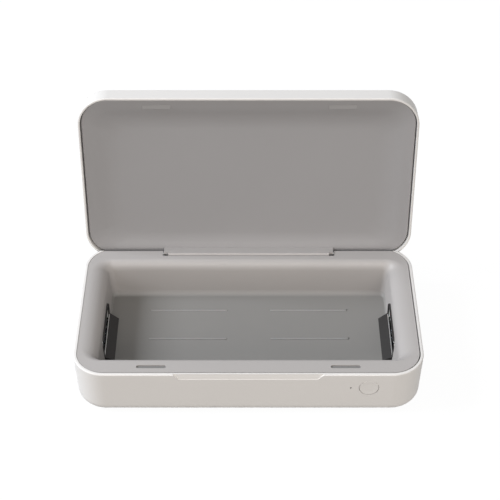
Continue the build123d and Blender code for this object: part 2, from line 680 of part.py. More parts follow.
def make_switch_plunger():
    return rod(PLUNGER_RADIUS, (BUTTON_X, button_back, button_z),
               (BUTTON_X, button_board_front - SWITCH_DEPTH + PLUNGER_ENTRY, button_z))


def make_power_button():
    """A round cap flush with the sloping front, held in by its flange."""
    cap = rod(BUTTON_RADIUS, (BUTTON_X, button_face - 2, button_z), (BUTTON_X, button_back, button_z))
    cap = cap & case_block()
    return cap + rod(BUTTON_RADIUS + BUTTON_FLANGE, (BUTTON_X, flange_front, button_z),
                     (BUTTON_X, button_back, button_z))


def make_status_led():
    return slab(LED_X - 0.8, LED_X + 0.8, button_board_front - 0.8, button_board_front,
                button_z - 0.6, button_z + 0.6)


def make_light_pipe():
    return rod(PIPE_RADIUS, (LED_X, button_face + 0.1, button_z),
               (LED_X, button_board_front - 0.9, button_z))


def make_lid_sensor():
    top = BUTTON_BOARD_BOTTOM + BUTTON_BOARD_HEIGHT
    return slab(SENSOR_X - 2, SENSOR_X + 2, button_board_front - 1.6, button_board_front, top - 3.5, top)


# ---------------------------------------------------------------- hinge and catch in the base
def make_hinge_pin():
    half = PIN_LENGTH / 2
    return rod(PIN_RADIUS, (-half, hinge_y, hinge_z), (half, hinge_y, hinge_z))


def make_base_magnets():
    half_l, half_w = SLOT_LENGTH / 2, CATCH_MAGNET_WIDTH / 2
    return [slab(x - half_l, x + half_l, slot_y - half_w, slot_y + half_w,
                 liner_under - CATCH_MAGNET_HEIGHT, liner_under) for x in (-SLOT_X, SLOT_X)]


# ---------------------------------------------------------------- lid, modelled shut
def make_lid_shell():
    outer = block(lid_outline, 0, lid_plane, lid_top)
    outer = fillet(outer.edges().group_by(Axis.Z)[-1], LID_EDGE_ROUND)
    outer = fillet(outer.edges().group_by(Axis.Z)[0], LID_RIM_ROUND)
    hollow = block(lid_outline, LID_WALL, lid_plane, lid_roof_under)
    hollow = fillet(hollow.edges().group_by(Axis.Z)[-1], LID_EDGE_ROUND - LID_WALL / 2)
    shell = outer - hollow
    y = hinge_y - LEAF_SCREW_FRONT
    for x in LEAF_SCREWS:
        shell += rod(LEAF_BOSS_RADIUS, (x, y, leaf_high), (x, y, lid_roof_under + 0.5))
        shell -= rod(LEAF_SCREW_RADIUS, (x, y, leaf_high), (x, y, leaf_low + LEAF_SCREW_LENGTH + 0.3))
    return shell


def dish_block(grow, depth):
    """The dish's form, grown all round and downwards for its back."""
    edge = LID_WALL + LID_LINER_GAP + DISH_BAND
    top_l, top_d = CASE_LENGTH - 2 * edge + 2 * grow, CASE_DEPTH - 2 * edge + 2 * grow
    top = rounded(top_l, top_d, LID_CORNER - edge + grow, lid_plane)
    floor = rounded(top_l - 2 * DISH_SLOPE, top_d - 2 * DISH_SLOPE, DISH_CORNER + grow, lid_plane + depth)
    return loft([top, floor], ruled=True)


def make_lid_liner():
    inset = LID_WALL + LID_LINER_GAP
    rim = extrude(rounded(CASE_LENGTH - 2 * inset, CASE_DEPTH - 2 * inset, LID_CORNER - inset, lid_plane),
                  LID_LINER_THICKNESS)
    liner = rim + dish_block(LID_LINER_THICKNESS, DISH_DEPTH + LID_LINER_THICKNESS) - dish_block(0, DISH_DEPTH)
    half = KNUCKLE_LENGTH / 2 + TAB_FIT
    liner -= slab(-half, half, hinge_y - KNUCKLE_FLAT - TAB_FIT, rear, lid_plane, leaf_low)
    for x in (-SLOT_X, SLOT_X):
        liner -= tab_blade(x, TAB_FIT, lid_plane, leaf_low)
    return liner


def make_hinge_knuckle():
    """The bar that turns in the base's trough, with the web and leaf that fix it in the lid."""
    drop = lid_plane - hinge_z
    r = KNUCKLE_RADIUS
    bar = Circle(r) & Pos((r - KNUCKLE_FLAT) / 2, (drop - r) / 2) * Rectangle(r + KNUCKLE_FLAT, drop + r)
    web_top = leaf_high - hinge_z
    bar += Pos((WEB_BACK - KNUCKLE_FLAT) / 2, web_top / 2) * Rectangle(WEB_BACK + KNUCKLE_FLAT, web_top)
    leaf_y = (WEB_BACK - LEAF_FRONT) / 2
    leaf_z = (leaf_low + leaf_high) / 2 - hinge_z
    bar += Pos(leaf_y, leaf_z) * Rectangle(WEB_BACK + LEAF_FRONT, LEAF_THICKNESS)
    bar -= Circle(PIN_RADIUS + PIN_CLEARANCE)
    knuckle = extrude(Plane.YZ * Pos(hinge_y, hinge_z) * bar, KNUCKLE_LENGTH / 2, both=True)
    for side in (-1, 1):
        end = side * KNUCKLE_LENGTH / 2
        knuckle -= rod(SLEEVE_RADIUS + CAP_CLEARANCE / 3, (end, hinge_y, hinge_z),
                       (end - side * SLEEVE_LENGTH, hinge_y, hinge_z))
    y = hinge_y - LEAF_SCREW_FRONT
    for x in LEAF_SCREWS:
        knuckle -= rod(LEAF_SCREW_RADIUS + PIN_CLEARANCE, (x, y, leaf_low), (x, y, leaf_high))
    return knuckle


def make_knuckle_screws():
    y = hinge_y - LEAF_SCREW_FRONT
    screws = []
    for x in LEAF_SCREWS:
        head = rod(LEAF_HEAD_RADIUS, (x, y, leaf_low - LEAF_HEAD_HEIGHT), (x, y, leaf_low))
        shank = rod(LEAF_SCREW_RADIUS - PIN_CLEARANCE, (x, y, leaf_low - LEAF_HEAD_HEIGHT),
                    (x, y, leaf_low + LEAF_SCREW_LENGTH))
        screws.append(head + shank)
    return screws


def make_friction_sleeves():
    sleeves = []
    for side in (-1, 1):
        start = (side * KNUCKLE_LENGTH / 2, hinge_y, hinge_z)
        end = (side * (KNUCKLE_LENGTH / 2 - SLEEVE_LENGTH), hinge_y, hinge_z)
        sleeves.append(rod(SLEEVE_RADIUS, start, end) - rod(PIN_RADIUS + PIN_CLEARANCE, start, end))
    return sleeves


def tab_blade(x, grow, low, high):
    half_l = SLOT_LENGTH / 2 - TAB_CLEARANCE + grow
    half_w = SLOT_WIDTH / 2 - TAB_CLEARANCE + grow
    return slab(x - half_l, x + half_l, slot_y - half_w, slot_y + half_w, low, high)


def make_latch_tabs():
    """Steel strips that drop in the catch slots, each with a flange behind the lid's inner panel."""
    tabs = []
    back = lid_plane + TAB_FLANGE_LEVEL
    for x in (-SLOT_X, SLOT_X):
        blade = tab_blade(x, 0, lid_plane - TAB_REACH, back + TAB_FLANGE_THICKNESS)
        blade = fillet(blade.edges().filter_by(Axis.Z), 0.8)
        tabs.append(blade + tab_blade(x, TAB_FLANGE, back, back + TAB_FLANGE_THICKNESS))
    return tabs


def make_sensor_magnet():
    y = front + LID_WALL + LID_LINER_GAP + DISH_BAND / 2
    low = lid_plane + LID_LINER_THICKNESS
    return rod(SENSOR_MAGNET_RADIUS, (SENSOR_X, y, low), (SENSOR_X, y, low + SENSOR_MAGNET_HEIGHT))


# ---------------------------------------------------------------- all nodes
cradle = make_lamp_cradle()
reflector = make_lamp_reflector()
lamp = make_uv_lamp()
end_caps = make_lamp_end_caps()

nodes = {
    "base_shell": make_base_shell(),
    "bottom_cover": make_bottom_cover(),
    "base_liner": make_base_liner(),
    "charging_deck": make_charging_deck(),
    "charging_coil": make_charging_coil(),
    "coil_ferrite": make_coil_ferrite(),
    "main_board": upright_board(0, MAIN_BOARD_LENGTH, MAIN_BOARD_HEIGHT),
    "main_board_parts": make_main_board_parts(),
    "usb_c_socket": make_usb_c_socket(),
    "lamp_driver_board": upright_board(DRIVER_X, DRIVER_LENGTH, DRIVER_HEIGHT),
    "lamp_driver_transformer": make_lamp_driver_transformer(),
    "button_board": make_button_board(),
    "tact_switch": make_tact_switch(),
    "status_led": make_status_led(),
    "light_pipe": make_light_pipe(),
    "lid_sensor": make_lid_sensor(),
    "uv_lamp_right": lamp,
    "uv_lamp_left": mirrored(lamp),
    "lamp_end_caps": end_caps + [mirrored(cap) for cap in end_caps],
    "lamp_reflector_right": reflector,
    "lamp_reflector_left": mirrored(reflector),
    "lamp_cradle_right": cradle,
    "lamp_cradle_left": mirrored(cradle),
    "base_magnets": make_base_magnets(),
    "hinge_pin": make_hinge_pin(),
    "foot_ring": make_foot_ring(),
    "case_screws": make_case_screws(),
    "power_button": make_power_button(),
    "switch_plunger": make_switch_plunger(),
}
lid_nodes = {
    "lid_shell": make_lid_shell(),
    "lid_liner": make_lid_liner(),
    "hinge_knuckle": make_hinge_knuckle(),
    "knuckle_screws": make_knuckle_screws(),
    "friction_sleeves": make_friction_sleeves(),
    "latch_tabs": make_latch_tabs(),
    "sensor_magnet": make_sensor_magnet(),
}


def as_list(piece):
    return piece if isinstance(piece, list) else [piece]


for name, piece in lid_nodes.items():
    nodes[name] = [swing_open(each) for each in as_list(piece)]

os.makedirs("parts", exist_ok=True)
for name, piece in nodes.items():
    solids = [solid for each in as_list(piece) for solid in each.solids()]
    export_step(solids[0] if len(solids) == 1 else Compound(solids), f"parts/{name}.step")
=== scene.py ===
import math

import bmesh
import bpy
from mathutils import Matrix, Vector


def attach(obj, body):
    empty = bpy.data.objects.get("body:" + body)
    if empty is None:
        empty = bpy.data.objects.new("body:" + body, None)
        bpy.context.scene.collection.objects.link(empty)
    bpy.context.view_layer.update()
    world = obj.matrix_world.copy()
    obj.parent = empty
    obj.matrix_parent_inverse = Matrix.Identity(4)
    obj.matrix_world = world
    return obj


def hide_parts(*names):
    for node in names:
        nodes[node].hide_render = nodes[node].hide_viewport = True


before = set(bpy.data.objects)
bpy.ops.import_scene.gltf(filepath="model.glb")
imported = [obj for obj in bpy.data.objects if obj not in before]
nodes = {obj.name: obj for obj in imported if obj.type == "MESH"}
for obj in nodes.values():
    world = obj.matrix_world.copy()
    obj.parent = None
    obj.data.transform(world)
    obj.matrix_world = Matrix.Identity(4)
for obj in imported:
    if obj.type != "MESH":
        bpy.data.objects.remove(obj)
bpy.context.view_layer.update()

MM = 0.001

# ---------------------------------------------------------------- camera
# It looks down at the open box from the front, level with the lid's middle. A long lens, almost
# a metre away, keeps the sides of the box nearly parallel.
CAMERA_PLACE = (1.0, -694.74, 671.16)
CAMERA_TILT = 49.93
CAMERA_LENS = 100.515
camera_data = bpy.data.cameras.new("camera")
camera_data.lens = CAMERA_LENS
camera_data.sensor_width = 36.0
camera_data.clip_start = 0.05
camera_data.clip_end = 20.0
camera = bpy.data.objects.new("camera", camera_data)
camera.location = Vector(CAMERA_PLACE) * MM
camera.rotation_euler = (math.radians(CAMERA_TILT), 0.0, 0.0)
bpy.context.scene.collection.objects.link(camera)
bpy.context.scene.camera = camera

# ---------------------------------------------------------------- case of the base
# The outer case is one injection moulding in white ABS: a drafted wall with a wide round at its
# foot, a thin rim, a finger scoop in the front edge and a ledge at the rear under the open lid.
# The tub sits in it, and the bottom cover closes it from below.
CASE_LENGTH = 228.0
CASE_DEPTH = 128.0
CASE_CORNER = 21.5
CASE_RIM = 36.0
CASE_FOOT = 0.8
CASE_DRAFT = math.radians(2.4)
CASE_FOOT_ROUND = 7.0
CASE_WALL = 2.0
CASE_RIM_ROUND = 0.8
INNER_RIM_ROUND = 0.25
COVER_OPENING = 7.25
WALL_RINGS = (33.0, 22.0, 12.0)
CLEAR_X = 120.0
CLEAR_Y = 66.0


def linear(colour):
    """An sRGB hex colour as the linear colour that a node takes."""
    parts = [int(colour[i:i + 2], 16) / 255 for i in (1, 3, 5)]
    return (*[c / 12.92 if c <= 0.04045 else ((c + 0.055) / 1.055) ** 2.4 for c in parts], 1.0)


def add(material, kind, values=None, links=None):
    """Adds one node to a material or a world, with its options, its sockets' values and its links."""
    tree = material.node_tree
    new = tree.nodes.new("ShaderNode" + kind)
    for key, value in (values or {}).items():
        if isinstance(key, str) and key.islower():
            setattr(new, key, value)
        else:
            new.inputs[key].default_value = value
    for key, (source, output) in (links or {}).items():
        tree.links.new(source.outputs[output], new.inputs[key])
    return new


def blank_material(name):
    """A new material without any nodes."""
    material = bpy.data.materials.new(name)
    material.use_nodes = True
    material.node_tree.nodes.clear()
    return material


def moulded_plastic(name, colour, shade, roughness, grain_mm=0.7, relief_mm=0.012):
    """Moulded ABS: the tool's spark-eroded grain as fine bumps that break up the gloss, and a slow
    drift of tone.

    The real grain is about 0.05 mm, too fine to show, so grain_mm is drawn coarser."""
    material = blank_material(name)
    place = add(material, "TexCoord")
    grain = add(material, "TexNoise", {"Scale": 1 / (grain_mm * MM), "Detail": 4.0, "Roughness": 0.6},
                {"Vector": (place, "Object")})
    drift = add(material, "TexNoise", {"Scale": 1 / (70 * MM), "Detail": 2.0}, {"Vector": (place, "Object")})
    tone = add(material, "Mix", {"data_type": "RGBA", 6: linear(shade), 7: linear(colour)},
               {0: (drift, "Fac")})
    speck = add(material, "MapRange", {"To Min": 0.985, "To Max": 1.015}, {"Value": (grain, "Fac")})
    tinted = add(material, "Mix", {"data_type": "RGBA", "blend_type": "MULTIPLY", 0: 1.0},
                 {6: (tone, 2), 7: (speck, 0)})
    gloss = add(material, "MapRange", {"From Min": 0.3, "From Max": 0.7, "To Min": roughness - 0.05,
                                       "To Max": roughness + 0.05}, {"Value": (grain, "Fac")})
    bump = add(material, "Bump", {"Strength": 0.35, "Distance": relief_mm * MM}, {"Height": (grain, "Fac")})
    shader = add(material, "BsdfPrincipled", {"IOR": 1.5},
                 {"Base Color": (tinted, 2), "Roughness": (gloss, 0), "Normal": (bump, "Normal")})
    add(material, "OutputMaterial", {}, {"Surface": (shader, "BSDF")})
    return material


def new_plate(name, length, depth, corner, height, steps):
    """Starts a piece as a flat plate with round corners, left in edit mode with its face selected."""
    bpy.ops.object.select_all(action="DESELECT")
    bpy.ops.mesh.primitive_plane_add(size=1.0, location=(0.0, 0.0, height * MM))
    piece = bpy.context.active_object
    piece.name = piece.data.name = name
    piece.scale = (length * MM, depth * MM, 1.0)
    bpy.ops.object.transform_apply()
    bpy.ops.object.mode_set(mode="EDIT")
    bpy.ops.mesh.select_all(action="SELECT")
    bpy.ops.mesh.bevel(offset=corner * MM, segments=steps, affect="VERTICES")
    bpy.ops.mesh.select_all(action="SELECT")
    return piece


def follow(profile):
    """Walks the selected face along (inset, height) points: one ring of faces to a point, with the
    outline moved in parallel."""
    for (near, low), (far, high) in zip(profile, profile[1:]):
        bpy.ops.mesh.inset(thickness=max(far - near, 0.0005) * MM, depth=(high - low) * MM)


def arc(centre, radius, start, end, steps):
    """Points of an arc in the (inset, height) plane. Degrees, 0 points inwards and 90 points up."""
    turns = [math.radians(start + (end - start) * i / steps) for i in range(steps + 1)]
    return [(centre[0] + radius * math.cos(t), centre[1] + radius * math.sin(t)) for t in turns]


def select_where(kind, test):
    """In edit mode, selects only the vertices, edges or faces whose middle, in mm, passes the test."""
    bpy.ops.mesh.select_mode(type=kind)
    bpy.ops.mesh.select_all(action="DESELECT")
    mesh = bmesh.from_edit_mesh(bpy.context.active_object.data)
    items = {"VERT": mesh.verts, "EDGE": mesh.edges, "FACE": mesh.faces}[kind]
    for item in items:
        if kind == "VERT":
            middle = item.co / MM
        elif kind == "EDGE":
            middle = (item.verts[0].co + item.verts[1].co) / (2 * MM)
        else:
            middle = item.calc_center_median() / MM
        if test(middle, item):
            item.select_set(True)
    mesh.select_flush_mode()
    bmesh.update_edit_mesh(bpy.context.active_object.data)


def close_outward():
    """Ends a closed piece: merges its doubles, faces its skin outwards and leaves edit mode."""
    bpy.ops.mesh.select_all(action="SELECT")
    bpy.ops.mesh.remove_doubles(threshold=0.0002 * MM)
    bpy.ops.mesh.normals_make_consistent(inside=False)
    bpy.ops.object.mode_set(mode="OBJECT")
    skin = bmesh.new()
    skin.from_mesh(bpy.context.active_object.data)
    inside_out = skin.calc_volume(signed=True) < 0
    skin.free()
    if inside_out:
        bpy.context.active_object.data.flip_normals()


def apply_modifier(piece, kind, **settings):
    """Adds one modifier to a piece in object mode and applies it."""
    bpy.ops.object.select_all(action="DESELECT")
    bpy.context.view_layer.objects.active = piece
    piece.select_set(True)
    modifier = piece.modifiers.new(kind.lower(), kind)
    for key, value in settings.items():
        setattr(modifier, key, value)
    bpy.ops.object.modifier_apply(modifier=modifier.name)


def cut_with(piece, cutter, operation="DIFFERENCE"):
    """Cuts a piece with a closed cutter, or joins the two, and deletes the cutter."""
    apply_modifier(piece, "BOOLEAN", operation=operation, solver="EXACT", object=cutter)
    bpy.data.objects.remove(cutter)


def block(name, low, high):
    """A block between two corners, in mm, with its place in its mesh, left in object mode."""
    bpy.ops.object.select_all(action="DESELECT")
    middle = (Vector(low) + Vector(high)) * MM / 2
    bpy.ops.mesh.primitive_cube_add(size=1.0, location=middle)
    piece = bpy.context.active_object
    piece.name = piece.data.name = name
    piece.scale = (Vector(high) - Vector(low)) * MM
    bpy.ops.object.transform_apply()
    return piece


def round_bar(name, radius, start, end, sides):
    """A round bar from one point to another, in mm, with its place in its mesh."""
    bpy.ops.object.select_all(action="DESELECT")
    run = (Vector(end) - Vector(start)) * MM
    bpy.ops.mesh.primitive_cylinder_add(vertices=sides, radius=radius * MM, depth=run.length,
                                        location=(Vector(start) + Vector(end)) * MM / 2,
                                        rotation=run.to_track_quat("Z", "Y").to_euler())
    piece = bpy.context.active_object
    piece.name = piece.data.name = name
    bpy.ops.object.transform_apply()
    return piece


def finish_piece(piece, material, body, slot, *replaced):
    """Gives a piece smooth shading with edges over 32 degrees kept sharp, even normals on its flats,
    its material and body, and hides the CAD nodes that it stands for. The slot argument is not used."""
    bpy.ops.object.select_all(action="DESELECT")
    bpy.context.view_layer.objects.active = piece
    piece.select_set(True)
    bpy.ops.object.shade_smooth_by_angle(angle=math.radians(32))
    apply_modifier(piece, "WEIGHTED_NORMAL", keep_sharp=True, weight=100, mode="FACE_AREA")
    piece.data.materials.clear()
    piece.data.materials.append(material)
    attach(piece, body)
    if replaced:
        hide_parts(*replaced)


def case_cut(height):
    """How far the drafted wall lies inside the rim's outline at a height."""
    return (CASE_RIM - height) * math.tan(CASE_DRAFT)


foot_centre = (case_cut(CASE_FOOT + CASE_FOOT_ROUND) + CASE_FOOT_ROUND / math.cos(CASE_DRAFT),
               CASE_FOOT + CASE_FOOT_ROUND)
case_profile = [(0.0, CASE_RIM)] + [(case_cut(height), height) for height in WALL_RINGS]
case_profile += arc(foot_centre, CASE_FOOT_ROUND, 180 + math.degrees(CASE_DRAFT), 270, 14)
case_profile.append((case_cut(CASE_FOOT) + COVER_OPENING, CASE_FOOT))
case = new_plate("base_case", CASE_LENGTH, CASE_DEPTH, CASE_CORNER, CASE_RIM, 28)
follow(case_profile)
bpy.ops.mesh.delete(type="FACE")
bpy.ops.object.mode_set(mode="OBJECT")
apply_modifier(case, "SOLIDIFY", thickness=CASE_WALL * MM, offset=1.0, use_even_offset=True)
bpy.ops.object.mode_set(mode="EDIT")


def on_rim(level, corner, inset):
    """A test for edges at a level that lie at an inset from the case's outline, with that corner."""
    def test(middle, edge):
        if abs(middle.z - level) > 0.05:
            return False
        x = max(abs(middle.x) - (CASE_LENGTH / 2 - corner), 0.0)
        y = max(abs(middle.y) - (CASE_DEPTH / 2 - corner), 0.0)
        return abs(math.hypot(x, y) - (corner - inset)) < 0.25
    return test


select_where("EDGE", on_rim(CASE_RIM, CASE_CORNER, 0.0))
bpy.ops.mesh.bevel(offset=CASE_RIM_ROUND * MM, segments=5, profile=0.5)
select_where("EDGE", on_rim(CASE_RIM, CASE_CORNER, CASE_WALL))
bpy.ops.mesh.bevel(offset=INNER_RIM_ROUND * MM, segments=2, profile=0.5)
bpy.ops.object.mode_set(mode="OBJECT")

# the ledge under the open lid, cut from a plate of the case's own outline
LEDGE_TOP = 28.0
LEDGE_THICKNESS = 2.0
REAR_FACE = 59.5
REAR_WALL = 1.8
ledge_inset = case_cut(LEDGE_TOP - LEDGE_THICKNESS) + 0.6
ledge = new_plate("ledge", CASE_LENGTH - 2 * ledge_inset, CASE_DEPTH - 2 * ledge_inset,
                  CASE_CORNER - ledge_inset, LEDGE_TOP - LEDGE_THICKNESS, 20)
bpy.ops.mesh.extrude_region_move(TRANSFORM_OT_translate={"value": (0, 0, LEDGE_THICKNESS * MM)})
bpy.ops.mesh.select_all(action="SELECT")
bpy.ops.mesh.bisect(plane_co=(0, (REAR_FACE - REAR_WALL) * MM, 0), plane_no=(0, 1, 0), use_fill=True,
                    clear_inner=True)
close_outward()
cut_with(case, ledge, "UNION")
cut_with(case, block("rear_cut", (-CLEAR_X, REAR_FACE, LEDGE_TOP), (CLEAR_X, CLEAR_Y, CASE_RIM + 2)))

# the finger scoop: a shallow band that leans back, with a small hollow round along its foot
SCOOP_TOP_HALF = 49.4
SCOOP_LOW_HALF = 44.0
SCOOP_LOW = CASE_RIM - 4.7
SCOOP_BACK = -62.75
SCOOP_LEAN = 1.0
SCOOP_FOOT_ROUND = 1.0
scoop = block("scoop", (-SCOOP_TOP_HALF, -CLEAR_Y, SCOOP_LOW), (SCOOP_TOP_HALF, SCOOP_BACK, CASE_RIM + 1))
bpy.ops.object.mode_set(mode="EDIT")
select_where("VERT", lambda p, v: p.z < CASE_RIM)
bpy.ops.transform.resize(value=(SCOOP_LOW_HALF / SCOOP_TOP_HALF, 1, 1), center_override=(0, 0, 0))
select_where("VERT", lambda p, v: p.z < CASE_RIM and p.y > -64)
bpy.ops.transform.translate(value=(0, -SCOOP_LEAN * MM, 0))
select_where("EDGE", lambda p, e: abs(p.x) < 1 and p.y > -64 and p.z < CASE_RIM)
bpy.ops.mesh.bevel(offset=SCOOP_FOOT_ROUND * MM, segments=6, profile=0.5)
bpy.ops.object.mode_set(mode="OBJECT")
cut_with(case, scoop)

# holes of the button, the indicator and the power socket
BUTTON_X = 77.7
BUTTON_Z = 24.0
BUTTON_RADIUS = 6.3
BUTTON_GAP = 0.22
LED_X = 66.0
LED_HOLE_RADIUS = 0.6
SOCKET_Z = 13.0
SOCKET_HALF = (4.75, 1.9)
SOCKET_FRONT = 57.0
FRONT_HOLE_BACK = -58.0
cut_with(case, round_bar("button_hole", BUTTON_RADIUS + BUTTON_GAP, (BUTTON_X, -CLEAR_Y, BUTTON_Z),
                         (BUTTON_X, FRONT_HOLE_BACK, BUTTON_Z), 96))
cut_with(case, round_bar("light_hole", LED_HOLE_RADIUS, (LED_X, -CLEAR_Y, BUTTON_Z),
                         (LED_X, FRONT_HOLE_BACK, BUTTON_Z), 32))
socket_hole = block("socket_hole", (-SOCKET_HALF[0], SOCKET_FRONT, SOCKET_Z - SOCKET_HALF[1]),
                    (SOCKET_HALF[0], CLEAR_Y, SOCKET_Z + SOCKET_HALF[1]))
bpy.ops.object.mode_set(mode="EDIT")
select_where("EDGE", lambda p, e: abs(p.y - (SOCKET_FRONT + CLEAR_Y) / 2) < 0.1)
bpy.ops.mesh.bevel(offset=(SOCKET_HALF[1] - 0.01) * MM, segments=10, profile=0.5)
bpy.ops.object.mode_set(mode="OBJECT")
cut_with(case, socket_hole)

# satin white ABS, a little warm
white_abs = moulded_plastic("white ABS, satin moulded", "#E9E6E2", "#E5E2DE", 0.42)
finish_piece(case, white_abs, "base", "case_white", "base_shell")

# ---------------------------------------------------------------- bottom cover, foot ring and screws
# The cover is a flat ABS moulding with a groove for the foot ring. Four self-tapping screws go up
# through it into the tub, and a silicone ring is glued in the groove.


def from_cad(name, node, bevel_mm, sides=2):
    """A copy of a CAD node's mesh, merged, with its flats cleaned and its sharp edges rounded."""
    piece = bpy.data.objects.new(name, nodes[node].data.copy())
    piece.data.name = name
    bpy.context.scene.collection.objects.link(piece)
    bpy.ops.object.select_all(action="DESELECT")
    bpy.context.view_layer.objects.active = piece
    piece.select_set(True)
    bpy.ops.object.mode_set(mode="EDIT")
    bpy.ops.mesh.select_all(action="SELECT")
    bpy.ops.mesh.remove_doubles(threshold=0.001 * MM)
    bpy.ops.mesh.dissolve_limited(angle_limit=math.radians(0.5))
    bpy.ops.object.mode_set(mode="OBJECT")
    if bevel_mm:
        apply_modifier(piece, "BEVEL", width=bevel_mm * MM, segments=sides, limit_method="ANGLE",
                       angle_limit=math.radians(40), use_clamp_overlap=True)
    return piece


def silicone(name, colour, shade, roughness):
    """Moulded silicone rubber: matt, slightly see-through, with a fine dusty grain."""
    material = blank_material(name)
    place = add(material, "TexCoord")
    dust = add(material, "TexNoise", {"Scale": 1 / (1.2 * MM), "Detail": 5.0}, {"Vector": (place, "Object")})
    tone = add(material, "Mix", {"data_type": "RGBA", 6: linear(shade), 7: linear(colour)},
               {0: (dust, "Fac")})
    matt = add(material, "MapRange", {"To Min": roughness - 0.08, "To Max": roughness + 0.08},
               {"Value": (dust, "Fac")})
    bump = add(material, "Bump", {"Strength": 0.4, "Distance": 0.02 * MM}, {"Height": (dust, "Fac")})
    shader = add(material, "BsdfPrincipled",
                 {"IOR": 1.41, "Subsurface Weight": 0.08, "Subsurface Scale": 0.001},
                 {"Base Color": (tone, 2), "Roughness": (matt, 0), "Normal": (bump, "Normal")})
    add(material, "OutputMaterial", {}, {"Surface": (shader, "BSDF")})
    return material


def plated_metal(name, colour, shade, roughness, streak=(1.0, 1.0, 1.0), streak_mm=0.8):
    """Metal with a drawn or plated skin: streaks along the bar's length that break up its gloss."""
    material = blank_material(name)
    place = add(material, "TexCoord")
    stretch = add(material, "Mapping", {"Scale": streak}, {"Vector": (place, "Object")})
    line = add(material, "TexNoise", {"Scale": 1 / (streak_mm * MM), "Detail": 4.0},
               {"Vector": (stretch, "Vector")})
    tone = add(material, "Mix", {"data_type": "RGBA", 6: linear(shade), 7: linear(colour)},
               {0: (line, "Fac")})
    gloss = add(material, "MapRange", {"To Min": max(roughness - 0.1, 0.03), "To Max": roughness + 0.1},
                {"Value": (line, "Fac")})
    bump = add(material, "Bump", {"Strength": 0.25, "Distance": 0.01 * MM}, {"Height": (line, "Fac")})
    shader = add(material, "BsdfPrincipled", {"Metallic": 1.0},
                 {"Base Color": (tone, 2), "Roughness": (gloss, 0), "Normal": (bump, "Normal")})
    add(material, "OutputMaterial", {}, {"Surface": (shader, "BSDF")})
    return material


grey_silicone = silicone("grey silicone, moulded", "#A9A7A4", "#9A9895", 0.62)
zinc_steel = plated_metal("zinc plated steel", "#C4C6C8", "#A8AAAD", 0.32)
finish_piece(from_cad("bottom_plate", "bottom_cover", 0.15), white_abs, "base", "case_white", "bottom_cover")
finish_piece(from_cad("foot_strip", "foot_ring", 0.3, 3), grey_silicone, "base", "foot_silicone", "foot_ring")
finish_piece(from_cad("cover_screws", "case_screws", 0.1), zinc_steel, "base", "steel", "case_screws")

# ---------------------------------------------------------------- tub
# The tub is one grey ABS moulding that drops into the case: a flat rim, soft round lips that are
# wider at the ends, drafted walls, windows for the lamps, catch slots and the hinge's trough. It
# lies against the case at the left, which leaves a fine gap at the right and the front.
TUB_TOP = 35.8
TUB_RIM = (111.6, 61.5)
TUB_RIM_CORNER = 19.1
TUB_SHIFT = (-0.3, 0.15)
TUB_THICKNESS = 2.0
CAVITY_HALF = (98.6, 46.6)
CAVITY_DRAFT = (math.tan(math.radians(4.0)), math.tan(math.radians(0.8)))
LIP_REACH = (11.6, 4.6)
LIP_DROP = 8.0
LIP_CORNER = 13.5
WALL_CORNER = 4.0
TUB_RINGS = (24.0, 14.0)
TUB_FOOT = 5.5
DECK_TOP = 6.9
WINDOW_HALF = 22.2
WINDOW_TOP = 24.0
WINDOW_ROUND = 7.0
WINDOW_CUT = (93.0, 104.0)


def ring(half_x, half_y, corner, height):
    """Moves the selected face to the next ring of a tapering form: half its size, corner and height."""
    mesh = bmesh.from_edit_mesh(bpy.context.active_object.data)
    level = next(v.co.z for v in mesh.verts if v.select)
    bpy.ops.mesh.inset(thickness=0.0005 * MM, depth=height * MM - level)
    mesh = bmesh.from_edit_mesh(bpy.context.active_object.data)
    outline = [v for v in mesh.verts if v.select]
    end_x = max(abs(v.co.x) for v in outline)
    end_y = max(abs(v.co.y) for v in outline)
    flat_x = max(abs(v.co.x) for v in outline if abs(v.co.y) > end_y - 0.002 * MM)
    flat_y = max(abs(v.co.y) for v in outline if abs(v.co.x) > end_x - 0.002 * MM)
    for v in outline:
        turn = math.atan2((abs(v.co.y) - flat_y) / (end_y - flat_y),
                          (abs(v.co.x) - flat_x) / (end_x - flat_x))
        v.co.x = math.copysign((half_x - corner + corner * math.cos(turn)) * MM, v.co.x)
        v.co.y = math.copysign((half_y - corner + corner * math.sin(turn)) * MM, v.co.y)
    bmesh.update_edit_mesh(bpy.context.active_object.data)


def cavity_half(side, height):
    """Half the cavity's size along X (0) or Y (1) on its drafted wall."""
    return CAVITY_HALF[side] - (TUB_TOP - height) * CAVITY_DRAFT[side]


lip_turn = math.radians(86)
lip_end = TUB_TOP - LIP_DROP * (1 - math.cos(lip_turn))
lip_rings = []
for step in range(13):
    turn = lip_turn * step / 12
    reach = math.sin(lip_turn) - math.sin(turn)
    lip_rings.append((cavity_half(0, lip_end) + LIP_REACH[0] * reach,
                      cavity_half(1, lip_end) + LIP_REACH[1] * reach,
                      WALL_CORNER + (LIP_CORNER - WALL_CORNER) * reach,
                      TUB_TOP - LIP_DROP * (1 - math.cos(turn))))
tub = new_plate("base_tub", 2 * lip_rings[0][0], 2 * lip_rings[0][1], LIP_CORNER, TUB_TOP, 24)
for place in lip_rings[1:]:
    ring(*place)
for height in (*TUB_RINGS, TUB_FOOT):
    ring(cavity_half(0, height), cavity_half(1, height), WALL_CORNER, height)
ring(cavity_half(0, TUB_FOOT) - 3, cavity_half(1, TUB_FOOT) - 3, WALL_CORNER - 3, TUB_FOOT)
bpy.ops.mesh.delete(type="FACE")

